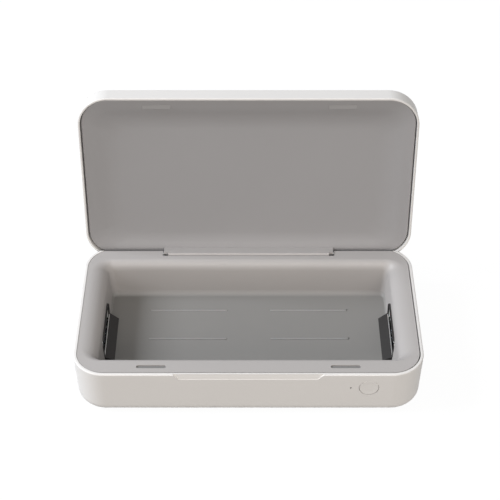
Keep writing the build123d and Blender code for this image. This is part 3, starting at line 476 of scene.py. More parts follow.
# the rim's outer outline, joined to the lip by a flat band
bpy.ops.mesh.primitive_plane_add(size=1.0, location=(0, 0, TUB_TOP * MM))
bpy.ops.transform.resize(value=(2 * TUB_RIM[0] * MM, 2 * TUB_RIM[1] * MM, 1), center_override=(0, 0, 0))
bpy.ops.transform.translate(value=(TUB_SHIFT[0] * MM, TUB_SHIFT[1] * MM, 0))
bpy.ops.mesh.bevel(offset=TUB_RIM_CORNER * MM, segments=24, affect="VERTICES")
bpy.ops.mesh.select_all(action="DESELECT")
select_where("FACE", lambda p, f: len(f.verts) > 8)
bpy.ops.mesh.delete(type="ONLY_FACE")
select_where("EDGE", lambda p, e: len(e.link_faces) < 2 and p.z > TUB_TOP - 0.05)
bpy.ops.mesh.bridge_edge_loops()
bpy.ops.mesh.select_all(action="SELECT")
bpy.ops.mesh.normals_make_consistent(inside=False)
bpy.ops.object.mode_set(mode="OBJECT")
if min(p.normal.z for p in tub.data.polygons if p.center.z > (TUB_TOP - 0.05) * MM) < 0:
    tub.data.flip_normals()
apply_modifier(tub, "SOLIDIFY", thickness=TUB_THICKNESS * MM, offset=-1.0, use_even_offset=True)

# the upright rear face and the trough that holds the hinge's bar
HINGE_Y = 58.7
HINGE_Z = 34.4
TROUGH_RADIUS = 4.3
TROUGH_HALF = 60.3
TROUGH_WALL = 1.8
TROUGH_BLOCK_FRONT = 52.6
TROUGH_BLOCK_TOP = 34.6
TROUGH_FRONT = 54.35
UPRIGHT_HALF = 107.5
UPRIGHT_LOW = LEDGE_TOP + 0.3
UPRIGHT_TOP = 34.5
UPRIGHT_END = (98.0, 102.0)
cut_with(tub, block("rear_cut", (-CLEAR_X, REAR_FACE, 0), (CLEAR_X, CLEAR_Y, TUB_TOP + 4.2)))
cut_with(tub, block("upright", (-UPRIGHT_HALF, REAR_FACE - REAR_WALL, UPRIGHT_LOW),
                    (UPRIGHT_HALF, REAR_FACE, UPRIGHT_TOP)), "UNION")
for side in (-1, 1):
    near, far = sorted((side * UPRIGHT_END[0], side * UPRIGHT_END[1]))
    cut_with(tub, block("upright_end", (near, REAR_FACE - REAR_WALL + 0.05, UPRIGHT_LOW + 0.1),
                        (far, REAR_FACE - 0.05, TUB_TOP - 0.05)), "UNION")
cut_with(tub, block("trough_block", (-TROUGH_HALF - TROUGH_WALL, TROUGH_BLOCK_FRONT, UPRIGHT_LOW),
                    (TROUGH_HALF + TROUGH_WALL, REAR_FACE, TROUGH_BLOCK_TOP)), "UNION")
cut_with(tub, round_bar("trough", TROUGH_RADIUS, (-TROUGH_HALF, HINGE_Y, HINGE_Z),
                        (TROUGH_HALF, HINGE_Y, HINGE_Z), 96))
cut_with(tub, block("trough_top", (-TROUGH_HALF, TROUGH_FRONT, HINGE_Z),
                    (TROUGH_HALF, CLEAR_Y, TUB_TOP + 2.2)))
cut_with(tub, block("trough_back", (-TROUGH_HALF, HINGE_Y, HINGE_Z - TROUGH_RADIUS),
                    (TROUGH_HALF, CLEAR_Y, TUB_TOP + 2.2)))

# catch slots in the front rim, and the lamps' windows in the end walls
SLOT_X = 62.65
SLOT_Y = -55.9
SLOT_LENGTH = 19.3
SLOT_WIDTH = 2.8
SLOT_FLOOR = 35.1


def slot_block(name, x, margin, low, high):
    """A block with the slot's round-ended outline and a margin all round, between two heights."""
    piece = new_plate(name, SLOT_LENGTH + 2 * margin, SLOT_WIDTH + 2 * margin,
                      SLOT_WIDTH / 2 + margin - 0.01, low, 10)
    bpy.ops.mesh.extrude_region_move(TRANSFORM_OT_translate={"value": (0, 0, (high - low) * MM)})
    bpy.ops.mesh.select_all(action="SELECT")
    bpy.ops.transform.translate(value=(x * MM, SLOT_Y * MM, 0))
    close_outward()
    return piece


# the slot floors: the tub's grey darkened as painted shade for the slots' recess
slot_floor_shade_abs = moulded_plastic("grey ABS darkened as painted shade, slot floor", "#878583", "#817F7D", 0.5)
for end, x in (("left", -SLOT_X), ("right", SLOT_X)):
    cut_with(tub, slot_block("slot", x, 0.0, TUB_TOP - TUB_THICKNESS - 0.5, TUB_TOP + 1))
    finish_piece(slot_block("slot_floor_" + end, x, 0.6, SLOT_FLOOR - 1.0, SLOT_FLOOR), slot_floor_shade_abs,
                 "base", "liner_grey")
for side in (-1, 1):
    near, far = sorted((side * WINDOW_CUT[0], side * WINDOW_CUT[1]))
    window = block("window", (near, -WINDOW_HALF, DECK_TOP - 0.4), (far, WINDOW_HALF, WINDOW_TOP))
    bpy.ops.object.mode_set(mode="EDIT")
    select_where("EDGE", lambda p, e: near + 1 < p.x < far - 1 and abs(p.y) > 5 and p.z > 20)
    bpy.ops.mesh.bevel(offset=WINDOW_ROUND * MM, segments=10, profile=0.5)
    close_outward()
    cut_with(tub, window)

# warm grey ABS with a satin grain, a shade lighter than the floor
grey_abs = moulded_plastic("grey ABS, satin moulded", "#B5B1AE", "#B1ADAA", 0.45)
finish_piece(tub, grey_abs, "base", "liner_grey", "base_liner")

# ---------------------------------------------------------------- cavity floor
# The floor is a grey ABS plate over the charging coil. Its edge turns up in a hollow round, whose grey
# turns towards the wall's paler grey at its top. Six low silicone ribs, let into the plate, keep the
# phone off it; their grey is set paler than the floor's as a painted highlight on their tops. Three
# small holes at the right ribs' ends are there only as shade, for the shadows that the ribs' ends cast.
FLOOR_UNDER = 5.5
FLOOR_ROUND = (1.6, 3.2)
FLOOR_RISE = 4.6
RIB_LENGTH = 53.3
RIB_WIDTH = 1.2
RIB_HEIGHT = 0.6
RIB_X = 41.85
RIB_PITCH = 28.8
RIB_ROUND = 0.45
SHADOW_HOLE_RADIUS = 0.7
SHADOW_HOLE_OFFSET = (0.4, 0.7)
FLOOR_GAP = (95.4, 100.0)
floor_lip = DECK_TOP + FLOOR_RISE
lip_half = [cavity_half(side, floor_lip) + 0.03 for side in (0, 1)]
cavity_floor = new_plate("cavity_floor", 2 * lip_half[0], 2 * lip_half[1], WALL_CORNER, floor_lip, 24)
for step in range(1, 11):
    turn = math.radians(9 * step)
    run = 1 - math.cos(turn)
    ring(lip_half[0] - FLOOR_ROUND[0] * run, lip_half[1] - FLOOR_ROUND[1] * run, WALL_CORNER - 1.5 * run,
         floor_lip - FLOOR_RISE * math.sin(turn))
select_where("EDGE", lambda p, e: len(e.link_faces) < 2)
bpy.ops.mesh.extrude_region_move(TRANSFORM_OT_translate={"value": (0, 0, (FLOOR_UNDER - floor_lip) * MM)})
bpy.ops.mesh.edge_face_add()
close_outward()
for side in (-1, 1):
    near, far = sorted((side * FLOOR_GAP[0], side * FLOOR_GAP[1]))
    cut_with(cavity_floor, block("window_gap", (near, -WINDOW_HALF, DECK_TOP - 0.3),
                                 (far, WINDOW_HALF, floor_lip + 1)))
# holes at the right ribs' ends, there only to show dark as shade for the ribs' end shadows
for y in (-RIB_PITCH, 0.0, RIB_PITCH):
    shadow_hole = (RIB_X + RIB_LENGTH / 2 + SHADOW_HOLE_OFFSET[0], y + SHADOW_HOLE_OFFSET[1])
    cut_with(cavity_floor, round_bar("shadow_hole", SHADOW_HOLE_RADIUS, (*shadow_hole, DECK_TOP - 0.7), (*shadow_hole, DECK_TOP + 1), 24))
floor_abs = moulded_plastic("grey ABS, fine moulded floor", "#8F8D89", "#8B8986", 0.46)
floor_shader = floor_abs.node_tree.nodes["Principled BSDF"]
floor_colour = floor_shader.inputs["Base Color"].links[0].from_node
floor_place = floor_abs.node_tree.nodes["Texture Coordinate"]
floor_height = add(floor_abs, "SeparateXYZ", {}, {0: (floor_place, "Object")})
paler = add(floor_abs, "MapRange", {"From Min": (DECK_TOP + 0.02) * MM, "From Max": (floor_lip - 1) * MM},
            {"Value": (floor_height, "Z")})
blend = add(floor_abs, "Mix", {"data_type": "RGBA", 7: linear("#B3AFAC")},
            {0: (paler, 0), 6: (floor_colour, 2)})
floor_abs.node_tree.links.new(blend.outputs[2], floor_shader.inputs["Base Color"])
finish_piece(cavity_floor, floor_abs, "base", "deck_grey", "charging_deck")
# the ribs' grey is paler than the floor's as a painted highlight on their tops
rib_silicone = silicone("grey silicone with painted highlight, moulded", "#A4A2A0", "#9C9A98", 0.5)
for row, y in (("front", -RIB_PITCH), ("middle", 0.0), ("rear", RIB_PITCH)):
    for end, x in (("left", -RIB_X), ("right", RIB_X)):
        rib = block("floor_rib_" + row + "_" + end, (x - RIB_LENGTH / 2, y - RIB_WIDTH / 2, DECK_TOP - 0.4),
                    (x + RIB_LENGTH / 2, y + RIB_WIDTH / 2, DECK_TOP + RIB_HEIGHT))
        bpy.ops.object.mode_set(mode="EDIT")
        select_where("EDGE", lambda p, e: p.z > DECK_TOP + RIB_HEIGHT - 0.01)
        bpy.ops.mesh.bevel(offset=RIB_ROUND * MM, segments=5, profile=0.5)
        close_outward()
        finish_piece(rib, rib_silicone, "base", "deck_grey")

# ---------------------------------------------------------------- charging coil
# Under the floor lies a flat coil of enamelled copper wire, glued on a sintered ferrite shield.
# Both are hidden when the box is whole.
COIL_RING_SCALE = 71.3924


def wound_copper():
    """Enamelled copper wire, wound in rings, shiny with a thin lacquer.

    The wire is 0.7 mm thick. Its rings are drawn 4.4 mm apart, so that they show."""
    material = blank_material("enamelled copper wire, wound")
    place = add(material, "TexCoord")
    turns = add(material, "TexWave", {"wave_type": "RINGS", "rings_direction": "Z", "Distortion": 0.2,
                                      "Scale": COIL_RING_SCALE}, {"Vector": (place, "Object")})
    tone = add(material, "Mix", {"data_type": "RGBA", 6: linear("#7A3C1E"), 7: linear("#C8743F")},
               {0: (turns, "Fac")})
    bump = add(material, "Bump", {"Strength": 0.8, "Distance": 0.2 * MM}, {"Height": (turns, "Fac")})
    shader = add(material, "BsdfPrincipled", {"Metallic": 0.9, "Roughness": 0.3, "Coat Weight": 0.6},
                 {"Base Color": (tone, 2), "Normal": (bump, "Normal")})
    add(material, "OutputMaterial", {}, {"Surface": (shader, "BSDF")})
    return material


def sintered_ferrite():
    """Sintered ferrite: near black and matt, with pores and lighter specks."""
    material = blank_material("sintered ferrite")
    place = add(material, "TexCoord")
    pores = add(material, "TexVoronoi", {"Scale": 1 / (0.6 * MM)}, {"Vector": (place, "Object")})
    tone = add(material, "Mix", {"data_type": "RGBA", 6: linear("#232327"), 7: linear("#3A3A3E")},
               {0: (pores, "Distance")})
    bump = add(material, "Bump", {"Strength": 0.5, "Distance": 0.05 * MM}, {"Height": (pores, "Distance")})
    shader = add(material, "BsdfPrincipled", {"Roughness": 0.7},
                 {"Base Color": (tone, 2), "Normal": (bump, "Normal")})
    add(material, "OutputMaterial", {}, {"Surface": (shader, "BSDF")})
    return material


def dress(node, material):
    """Gives a CAD node that stays as it is its material."""
    nodes[node].data.materials.clear()
    nodes[node].data.materials.append(material)


ferrite = sintered_ferrite()
dress("charging_coil", wound_copper())
dress("coil_ferrite", ferrite)

# ---------------------------------------------------------------- lamps
# Behind each end wall's window a quartz tube lies in silicone holders and a rolled aluminium mirror,
# in a black nylon cradle. The cradle's sloping guard stands in front of the window and shields the
# eyes. A bright strip is pressed on its edge, and the mirror's hammered lip lies behind it. Glints are
# painted on the mirror and its lip.
GUARD_EDGE_X = 97.0
GUARD_EDGE_Z = 10.8
GUARD_TRIM_HALF = 20.8
GUARD_TRIM_RADIUS = 0.32
MIRROR_LIP_X = (97.4, 100.4)
MIRROR_LIP_HALF = 20.0
MIRROR_LIP_Z = (9.4, 9.9)


def filled_nylon():
    """Black nylon with glass fibres: satin, with short pale fibres just under the skin."""
    material = blank_material("black glass filled nylon, moulded")
    place = add(material, "TexCoord")
    grain = add(material, "TexNoise", {"Scale": 1 / (0.5 * MM), "Detail": 5.0, "Roughness": 0.7},
                {"Vector": (place, "Object")})
    tone = add(material, "Mix", {"data_type": "RGBA", 6: linear("#1F1E1E"), 7: linear("#2E2C2B")},
               {0: (grain, "Fac")})
    gloss = add(material, "MapRange", {"To Min": 0.3, "To Max": 0.55}, {"Value": (grain, "Fac")})
    bump = add(material, "Bump", {"Strength": 0.5, "Distance": 0.03 * MM}, {"Height": (grain, "Fac")})
    shader = add(material, "BsdfPrincipled", {"IOR": 1.53},
                 {"Base Color": (tone, 2), "Roughness": (gloss, 0), "Normal": (bump, "Normal")})
    add(material, "OutputMaterial", {}, {"Surface": (shader, "BSDF")})
    return material


def quartz_glass():
    """Clear fused quartz, with faint draw lines along the tube."""
    material = blank_material("fused quartz tube")
    place = add(material, "TexCoord")
    stretch = add(material, "Mapping", {"Scale": (1.0, 0.05, 1.0)}, {"Vector": (place, "Object")})
    lines = add(material, "TexNoise", {"Scale": 1 / (0.8 * MM)}, {"Vector": (stretch, "Vector")})
    bump = add(material, "Bump", {"Strength": 0.2, "Distance": 0.03 * MM}, {"Height": (lines, "Fac")})
    gloss = add(material, "MapRange", {"To Min": 0.02, "To Max": 0.08}, {"Value": (lines, "Fac")})
    shader = add(material, "BsdfPrincipled",
                 {"Base Color": linear("#F2F6FF"), "IOR": 1.46, "Transmission Weight": 0.85},
                 {"Roughness": (gloss, 0), "Normal": (bump, "Normal")})
    add(material, "OutputMaterial", {}, {"Surface": (shader, "BSDF")})
    return material


def hammered_aluminium():
    """Aluminium sheet with a hammered skin: dimples about 2 mm wide. Its colour carries painted glints: near
    white in the dimples' middles and near black between them.
    """
    material = blank_material("hammered aluminium with painted glints")
    place = add(material, "TexCoord")
    dimples = add(material, "TexVoronoi", {"Scale": 1 / (2.0 * MM)}, {"Vector": (place, "Object")})
    bright = add(material, "MapRange", {"From Min": 0.42, "From Max": 0.3}, {"Value": (dimples, "Distance")})
    tone = add(material, "Mix", {"data_type": "RGBA", 6: linear("#2A2C2F"), 7: linear("#F6F7F8")},
               {0: (bright, 0)})
    gloss = add(material, "MapRange", {"To Min": 0.06, "To Max": 0.16}, {"Value": (dimples, "Distance")})
    bump = add(material, "Bump", {"Strength": 1.0, "Distance": 1.5 * MM}, {"Height": (dimples, "Distance")})
    shader = add(material, "BsdfPrincipled", {"Metallic": 1.0},
                 {"Base Color": (tone, 2), "Roughness": (gloss, 0), "Normal": (bump, "Normal")})
    add(material, "OutputMaterial", {}, {"Surface": (shader, "BSDF")})
    return material


black_nylon = filled_nylon()
quartz = quartz_glass()
hammered = hammered_aluminium()
bright_strip = plated_metal("bright drawn aluminium strip", "#F0F0EE", "#E2E2E0", 0.45, (1.0, 0.05, 1.0), 0.6)
white_silicone = silicone("white silicone, moulded", "#D8D6D2", "#C9C7C3", 0.5)
for end in ("right", "left"):
    finish_piece(from_cad("lamp_housing_" + end, "lamp_cradle_" + end, 0.15), black_nylon, "base",
                 "cradle_black", "lamp_cradle_" + end)
    finish_piece(from_cad("lamp_mirror_" + end, "lamp_reflector_" + end, 0.0), hammered, "base",
                 "polished_aluminium", "lamp_reflector_" + end)
    finish_piece(from_cad("lamp_tube_" + end, "uv_lamp_" + end, 0.3, 3), quartz, "base", "quartz",
                 "uv_lamp_" + end)
    side = 1 if end == "right" else -1
    # the mirror's hammered lip behind the guard, there to carry the painted glints
    near, far = sorted((side * MIRROR_LIP_X[0], side * MIRROR_LIP_X[1]))
    mirror_lip = block("mirror_lip_" + end, (near, -MIRROR_LIP_HALF, MIRROR_LIP_Z[0]),
                       (far, MIRROR_LIP_HALF, MIRROR_LIP_Z[1]))
    finish_piece(mirror_lip, hammered, "base", "polished_aluminium")
    trim_x = side * GUARD_EDGE_X
    trim = round_bar("guard_trim_" + end, GUARD_TRIM_RADIUS, (trim_x, -GUARD_TRIM_HALF, GUARD_EDGE_Z),
                     (trim_x, GUARD_TRIM_HALF, GUARD_EDGE_Z), 24)
    finish_piece(trim, bright_strip, "base", "polished_aluminium")
finish_piece(from_cad("lamp_holders", "lamp_end_caps", 0.2), white_silicone, "base", "cap_white",
             "lamp_end_caps")

# ---------------------------------------------------------------- circuit boards
# Three glass-epoxy boards stand in slots in the case: the main board and the lamp driver at the
# rear, and the button board at the front. Their parts are soldered on.


def solder_mask():
    """Glass-epoxy board under green solder mask: copper tracks on a 1.6 mm grid show through it."""
    material = blank_material("green solder mask on glass epoxy")
    place = add(material, "TexCoord")
    tracks = add(material, "TexBrick", {"Scale": 1 / (6.4 * MM), "Mortar Size": 0.03, "Color1": (0, 0, 0, 1),
                                        "Color2": (0.15, 0.15, 0.15, 1), "Mortar": (1, 1, 1, 1)},
                 {"Vector": (place, "Object")})
    weave = add(material, "TexNoise", {"Scale": 1 / (0.5 * MM), "Detail": 3.0}, {"Vector": (place, "Object")})
    tone = add(material, "Mix", {"data_type": "RGBA", 6: linear("#0F5A34"), 7: linear("#2C8552")},
               {0: (tracks, "Color")})
    gloss = add(material, "MapRange", {"To Min": 0.25, "To Max": 0.45}, {"Value": (weave, "Fac")})
    bump = add(material, "Bump", {"Strength": 0.5, "Distance": 0.04 * MM}, {"Height": (tracks, "Color")})
    shader = add(material, "BsdfPrincipled", {"IOR": 1.55},
                 {"Base Color": (tone, 2), "Roughness": (gloss, 0), "Normal": (bump, "Normal")})
    add(material, "OutputMaterial", {}, {"Surface": (shader, "BSDF")})
    return material


board_green = solder_mask()
chip_epoxy = moulded_plastic("black moulding epoxy", "#232324", "#1B1B1C", 0.5, 0.3)
for board in ("main_board", "lamp_driver_board", "button_board"):
    dress(board, board_green)
for chip in ("main_board_parts", "tact_switch", "lid_sensor"):
    dress(chip, chip_epoxy)
dress("lamp_driver_transformer", ferrite)
finish_piece(from_cad("power_socket", "usb_c_socket", 0.08), zinc_steel, "base", "steel", "usb_c_socket")

# ---------------------------------------------------------------- button and indicator
# The button is a white ABS disc that lies flush with the sloping front, with a fine chamfer and a
# flange behind the wall. A light pipe of smoked polycarbonate shows the indicator beside it.
BUTTON_BACK = -59.92
FLANGE_BACK = -59.9
FLANGE_THICKNESS = 1.0
BUTTON_CHAMFER = 0.3
BUTTON_DISH = ((0.3, 0.0), (1.6, 0.12), (1.6, 0.06))
case_front = -(CASE_DEPTH / 2 - case_cut(BUTTON_Z))
button = round_bar("button_cap", BUTTON_RADIUS, (BUTTON_X, case_front - 2, BUTTON_Z),
                   (BUTTON_X, BUTTON_BACK, BUTTON_Z), 96)
bpy.ops.object.mode_set(mode="EDIT")
bpy.ops.mesh.select_all(action="SELECT")
bpy.ops.mesh.bisect(plane_co=(0, case_front * MM, BUTTON_Z * MM),
                    plane_no=(0, -math.cos(CASE_DRAFT), -math.sin(CASE_DRAFT)), use_fill=True,
                    clear_outer=True)
select_where("FACE", lambda p, f: p.y < case_front + 0.5 and len(f.verts) > 8)
for inset, sink in BUTTON_DISH:
    bpy.ops.mesh.inset(thickness=inset * MM, depth=-sink * MM)
select_where("EDGE", lambda p, e: p.y < case_front + 0.6
             and math.hypot(p.x - BUTTON_X, p.z - BUTTON_Z) > BUTTON_RADIUS - 0.1 and len(e.link_faces) == 2
             and abs(e.verts[0].co.y - e.verts[1].co.y) < 0.03 * MM)
bpy.ops.mesh.bevel(offset=BUTTON_CHAMFER * MM, segments=3, profile=0.5)
bpy.ops.object.mode_set(mode="OBJECT")
button_flange = round_bar("button_flange", BUTTON_RADIUS + 1.0,
                          (BUTTON_X, FLANGE_BACK - FLANGE_THICKNESS, BUTTON_Z),
                          (BUTTON_X, FLANGE_BACK, BUTTON_Z), 96)
cut_with(button, button_flange, "UNION")
finish_piece(button, white_abs, "power_button", "case_white", "power_button")
finish_piece(from_cad("switch_pin", "switch_plunger", 0.1), chip_epoxy, "power_button", "chip_black",
             "switch_plunger")
smoked = moulded_plastic("smoked polycarbonate, polished", "#4A4846", "#403E3C", 0.2, 0.4, 0.002)
finish_piece(from_cad("indicator_pipe", "light_pipe", 0.08), smoked, "base", "lens_white", "light_pipe")
dress("status_led", white_silicone)

# ---------------------------------------------------------------- lid
# The lid is a shallow white ABS moulding like the case, with a grey dished panel pressed into it.
# Both are made shut, rim down, and turned back on the hinge to the open stop.
LID_PLANE = 36.3
LID_TOP = 50.0
LID_CORNER = 21.0
LID_DRAFT = math.radians(0.7)
LID_EDGE_ROUND = 2.4
LID_RIM_ROUND = 0.7
LID_WALL = 1.5
LID_WALL_RING = 41.0
LID_TOP_RING = 12.0
LID_ANGLE = 95.3
hinge = Vector((0, HINGE_Y * MM, HINGE_Z * MM))
turned = Matrix.Rotation(math.radians(-LID_ANGLE), 4, "X")
OPEN_LID = Matrix.Translation(hinge) @ turned @ Matrix.Translation(-hinge)


def turn_open(piece):
    """Turns a finished piece of the lid to the open stop, and applies the turn to its mesh."""
    bpy.ops.object.select_all(action="DESELECT")
    bpy.context.view_layer.objects.active = piece
    piece.select_set(True)
    piece.matrix_world = OPEN_LID
    bpy.ops.object.transform_apply()
    return piece


def lid_cut(height):
    """How far the lid's drafted wall lies inside its rim's outline at a height."""
    return (height - LID_PLANE) * math.tan(LID_DRAFT)


edge_centre = (lid_cut(LID_TOP - LID_EDGE_ROUND) + LID_EDGE_ROUND / math.cos(LID_DRAFT),
               LID_TOP - LID_EDGE_ROUND)
lid_profile = [(0.0, LID_PLANE), (lid_cut(LID_WALL_RING), LID_WALL_RING)]
lid_profile += arc(edge_centre, LID_EDGE_ROUND, 180 - math.degrees(LID_DRAFT), 90, 8)
lid_profile.append((edge_centre[0] + LID_TOP_RING, LID_TOP))
lid = new_plate("lid_cover", CASE_LENGTH, CASE_DEPTH, LID_CORNER, LID_PLANE, 28)
follow(lid_profile)
bpy.ops.object.mode_set(mode="OBJECT")
apply_modifier(lid, "SOLIDIFY", thickness=LID_WALL * MM, offset=-1.0, use_even_offset=True)
bpy.ops.object.mode_set(mode="EDIT")
select_where("EDGE", on_rim(LID_PLANE, LID_CORNER, 0.0))
bpy.ops.mesh.bevel(offset=LID_RIM_ROUND * MM, segments=5, profile=0.5)
select_where("EDGE", on_rim(LID_PLANE, LID_CORNER, LID_WALL))
bpy.ops.mesh.bevel(offset=INNER_RIM_ROUND * MM, segments=2, profile=0.5)
bpy.ops.object.mode_set(mode="OBJECT")
turn_open(lid)
finish_piece(lid, white_abs, "lid", "case_white", "lid_shell")

# the dished panel: a band that leans inwards, a soft shoulder and a long hollow slope down to the
# flat, all of it shorter and shallower on the hinge's side
PANEL_INSET = LID_WALL + 0.8
PANEL_LEVEL = LID_PLANE + 1.8
PANEL_BAND = 4.4
PANEL_BAND_RING = 1.2
PANEL_SHOULDER = 6.0
PANEL_SLOPE = 20.0
PANEL_BAND_SINK = 0.9
PANEL_DEPTH = 5.5
PANEL_THICKNESS = 1.6
PANEL_EDGE_ROUND = 0.9
PANEL_CORNER_TIGHTER = 0.35
PANEL_REAR_STEEPER = 0.35
PANEL_REAR_SHALLOWER = 0.65
KNUCKLE_HALF = 59.6
KNUCKLE_FLAT = 2.2
KNUCKLE_FIT = 0.1
panel_corner = LID_CORNER - PANEL_INSET
panel = new_plate("lid_panel", CASE_LENGTH - 2 * PANEL_INSET, CASE_DEPTH - 2 * PANEL_INSET, panel_corner,
                  PANEL_LEVEL, 24)
band_lean = PANEL_BAND_SINK / PANEL_BAND
follow([(0.0, PANEL_LEVEL), (PANEL_BAND_RING, PANEL_LEVEL + PANEL_BAND_RING * band_lean),
        (PANEL_BAND, PANEL_LEVEL + PANEL_BAND_SINK)])
band_end = PANEL_INSET + PANEL_BAND
steepest = (PANEL_DEPTH - PANEL_BAND_SINK - band_lean * PANEL_SHOULDER / 2) / (PANEL_SLOPE / 2)
hollow = PANEL_SLOPE - PANEL_SHOULDER
panel_runs = {}
for step in range(1, 21):
    run = PANEL_SLOPE * step / 20
    if run <= PANEL_SHOULDER:
        sink = PANEL_BAND_SINK + band_lean * run + (steepest - band_lean) * run * run / (2 * PANEL_SHOULDER)
    else:
        past = run - PANEL_SHOULDER
        sink = (PANEL_BAND_SINK + (steepest + band_lean) * PANEL_SHOULDER / 2
                + steepest * (past - past * past / (2 * hollow)))
    ring(CASE_LENGTH / 2 - band_end - run, CASE_DEPTH / 2 - band_end - run,
         panel_corner - PANEL_BAND - run * PANEL_CORNER_TIGHTER, PANEL_LEVEL + sink)
    panel_runs[round(PANEL_LEVEL + sink, 3)] = run
bpy.ops.object.mode_set(mode="OBJECT")
for v in panel.data.vertices:
    height = v.co.z / MM
    run = panel_runs.get(round(height, 3), 0.0)
    if v.co.y > 0:
        v.co.y += run * PANEL_REAR_STEEPER * MM
    v.co.z -= (height - PANEL_LEVEL) * PANEL_REAR_SHALLOWER * (v.co.y / (CASE_DEPTH * MM) + 0.5) * MM
apply_modifier(panel, "SOLIDIFY", thickness=PANEL_THICKNESS * MM, offset=1.0, use_even_offset=True)
bpy.ops.object.mode_set(mode="EDIT")
select_where("EDGE", on_rim(PANEL_LEVEL, LID_CORNER, PANEL_INSET))
bpy.ops.mesh.bevel(offset=PANEL_EDGE_ROUND * MM, segments=6, profile=0.5)
bpy.ops.object.mode_set(mode="OBJECT")
knuckle_cut = block("knuckle_cut",
                    (-KNUCKLE_HALF - KNUCKLE_FIT, HINGE_Y - KNUCKLE_FLAT + KNUCKLE_FIT, PANEL_LEVEL - 1),
                    (KNUCKLE_HALF + KNUCKLE_FIT, CLEAR_Y, PANEL_LEVEL + 2.9))
cut_with(panel, knuckle_cut)
turn_open(panel)
panel_abs = moulded_plastic("grey ABS, lid panel", "#A19F9F", "#9D9B9B", 0.5)
finish_piece(panel, panel_abs, "lid", "lid_liner_grey", "lid_liner")

# ---------------------------------------------------------------- hinge
# A moulded bar with a leaf is screwed into the lid and turns in the tub's trough on a steel pin.
# Friction sleeves in its ends hold the lid where it is left. A thin wall covers each sleeve's front.
STEP_X = (56.6, 61.0)
STEP_Y = (52.0, 56.6)
STEP_Z = (32.0, 36.9)
COVER_X = (47.0, 59.5)
COVER_Y = (HINGE_Y - KNUCKLE_FLAT - 0.12, HINGE_Y - KNUCKLE_FLAT + 0.2)
COVER_HALF = 1.2
hinge_bar = from_cad("hinge_bar", "hinge_knuckle", 0.25, 3)
for side in (-1, 1):
    near, far = sorted((side * STEP_X[0], side * STEP_X[1]))
    cut_with(hinge_bar, block("end_step", (near, STEP_Y[0], STEP_Z[0]), (far, STEP_Y[1], STEP_Z[1])))
    near, far = sorted((side * COVER_X[0], side * COVER_X[1]))
    cover = block("sleeve_cover", (near, COVER_Y[0], HINGE_Z - COVER_HALF),
                  (far, COVER_Y[1], HINGE_Z + COVER_HALF))
    cut_with(hinge_bar, turn_open(cover), "UNION")
finish_piece(hinge_bar, grey_abs, "lid", "liner_grey", "hinge_knuckle")
drawn_steel = plated_metal("drawn steel, polished", "#BFC1C4", "#9EA1A5", 0.25, (0.05, 1.0, 1.0), 0.4)
finish_piece(from_cad("hinge_rod", "hinge_pin", 0.15), drawn_steel, "base", "steel", "hinge_pin")
finish_piece(from_cad("hinge_sleeves", "friction_sleeves", 0.1), drawn_steel, "lid", "steel",
             "friction_sleeves")
finish_piece(from_cad("hinge_screws", "knuckle_screws", 0.08), zinc_steel, "lid", "steel", "knuckle_screws")

# ---------------------------------------------------------------- catch
# Two steel strips let into the lid's panel meet magnets under the slots, and a small round magnet
# in the lid tells the base that it is shut. The strips are painted grey, a little darker than the
# panel as painted shade.
STRIP_X = (-61.05, 62.65)
STRIP_HALF = 9.4
STRIP_Y = (SLOT_Y - 1.8, SLOT_Y + 1.1)
STRIP_Z = (PANEL_LEVEL + PANEL_BAND_SINK - 0.3, 39.0)
MAGNET_RADIUS = 1.8
MAGNET_PLACE = (BUTTON_X + 7.3, -59.8)
MAGNET_Z = (PANEL_LEVEL + 2.3, PANEL_LEVEL + 4.3)


def catch_strip(x):
    """One catch strip of the shut lid, with its middle at x."""
    return block("catch_strips", (x - STRIP_HALF, STRIP_Y[0], STRIP_Z[0]),
                 (x + STRIP_HALF, STRIP_Y[1], STRIP_Z[1]))


painted_steel = moulded_plastic("grey paint on steel strip, with painted shade", "#9D9B9A", "#999796", 0.5, 0.5, 0.006)
nickel = plated_metal("nickel plated magnet", "#8E8F93", "#6F7074", 0.3)
catch_strips = catch_strip(STRIP_X[0])
cut_with(catch_strips, catch_strip(STRIP_X[1]), "UNION")
apply_modifier(catch_strips, "BEVEL", width=0.25 * MM, segments=3)
finish_piece(turn_open(catch_strips), painted_steel, "lid", "steel", "latch_tabs")
finish_piece(from_cad("catch_magnets", "base_magnets", 0.25), nickel, "base", "magnet_nickel", "base_magnets")
shut_magnet = round_bar("shut_magnet", MAGNET_RADIUS, (*MAGNET_PLACE, MAGNET_Z[0]),
                        (*MAGNET_PLACE, MAGNET_Z[1]), 48)
apply_modifier(shut_magnet, "BEVEL", width=0.2 * MM, segments=2, limit_method="ANGLE")
finish_piece(turn_open(shut_magnet), nickel, "lid", "magnet_nickel", "sensor_magnet")

# ---------------------------------------------------------------- floor, lamps and world
# A white floor that keeps a faint shadow, a large soft lamp from the left, a weaker one from the
# front and an even white room.
FLOOR_TONE = "#4C4C4C"
FLOOR_GLOW = 0.95


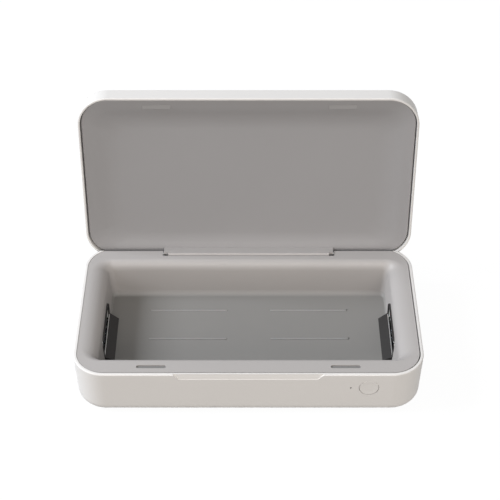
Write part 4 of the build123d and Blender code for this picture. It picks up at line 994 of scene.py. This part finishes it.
def studio_floor():
    """White paper sweep: it shows white to the camera and in gloss, and keeps the shadow."""
    material = blank_material("white paper sweep")
    path = add(material, "LightPath")
    seen = add(material, "Math", {"operation": "MAXIMUM"},
               {0: (path, "Is Camera Ray"), 1: (path, "Is Glossy Ray")})
    seen = add(material, "Math", {"operation": "MAXIMUM"}, {0: (seen, 0), 1: (path, "Is Transmission Ray")})
    glow = add(material, "Math", {"operation": "MULTIPLY", 1: FLOOR_GLOW}, {0: (seen, 0)})
    paper = add(material, "BsdfDiffuse", {"Color": linear(FLOOR_TONE)})
    light = add(material, "Emission", {"Color": (1, 1, 1, 1)}, {"Strength": (glow, 0)})
    both = add(material, "AddShader", {}, {0: (paper, 0), 1: (light, 0)})
    add(material, "OutputMaterial", {}, {"Surface": (both, 0)})
    return material


bpy.ops.object.select_all(action="DESELECT")
bpy.ops.mesh.primitive_plane_add(size=16.0, location=(0, 0, -0.0002))
studio = bpy.context.active_object
studio.name = "floor"
studio.data.materials.append(studio_floor())

ROOM_LEVEL = 0.39
world = bpy.data.worlds.new("white room")
bpy.context.scene.world = world
world.use_nodes = True
world.node_tree.nodes.clear()
path = add(world, "LightPath")
seen = add(world, "Math", {"operation": "MAXIMUM"}, {0: (path, "Is Camera Ray"), 1: (path, "Is Glossy Ray")})
seen = add(world, "Math", {"operation": "MAXIMUM"}, {0: (seen, 0), 1: (path, "Is Transmission Ray")})
level = add(world, "MapRange", {"To Min": ROOM_LEVEL, "To Max": 1.0}, {"Value": (seen, 0)})
shell = add(world, "Background", {"Color": (1, 1, 1, 1)}, {"Strength": (level, 0)})
add(world, "OutputWorld", {}, {"Surface": (shell, 0)})


def soft_lamp(name, place, size, power, colour):
    """A square area lamp that points at the box."""
    data = bpy.data.lights.new(name, "AREA")
    data.shape = "SQUARE"
    data.size = size
    data.energy = power
    data.color = linear(colour)[:3]
    lamp = bpy.data.objects.new(name, data)
    lamp.location = place
    lamp.rotation_euler = (Vector((0, 0, 0.04)) - Vector(place)).to_track_quat("-Z", "Y").to_euler()
    bpy.context.scene.collection.objects.link(lamp)


soft_lamp("key", (-1.9, 0.03, 1.4), 1.0, 54.0, "#F2F7FF")
soft_lamp("fill", (0.3, -2.25, 0.8), 1.5, 29.0, "#FFF8F2")
bpy.context.scene.view_settings.view_transform = "Standard"
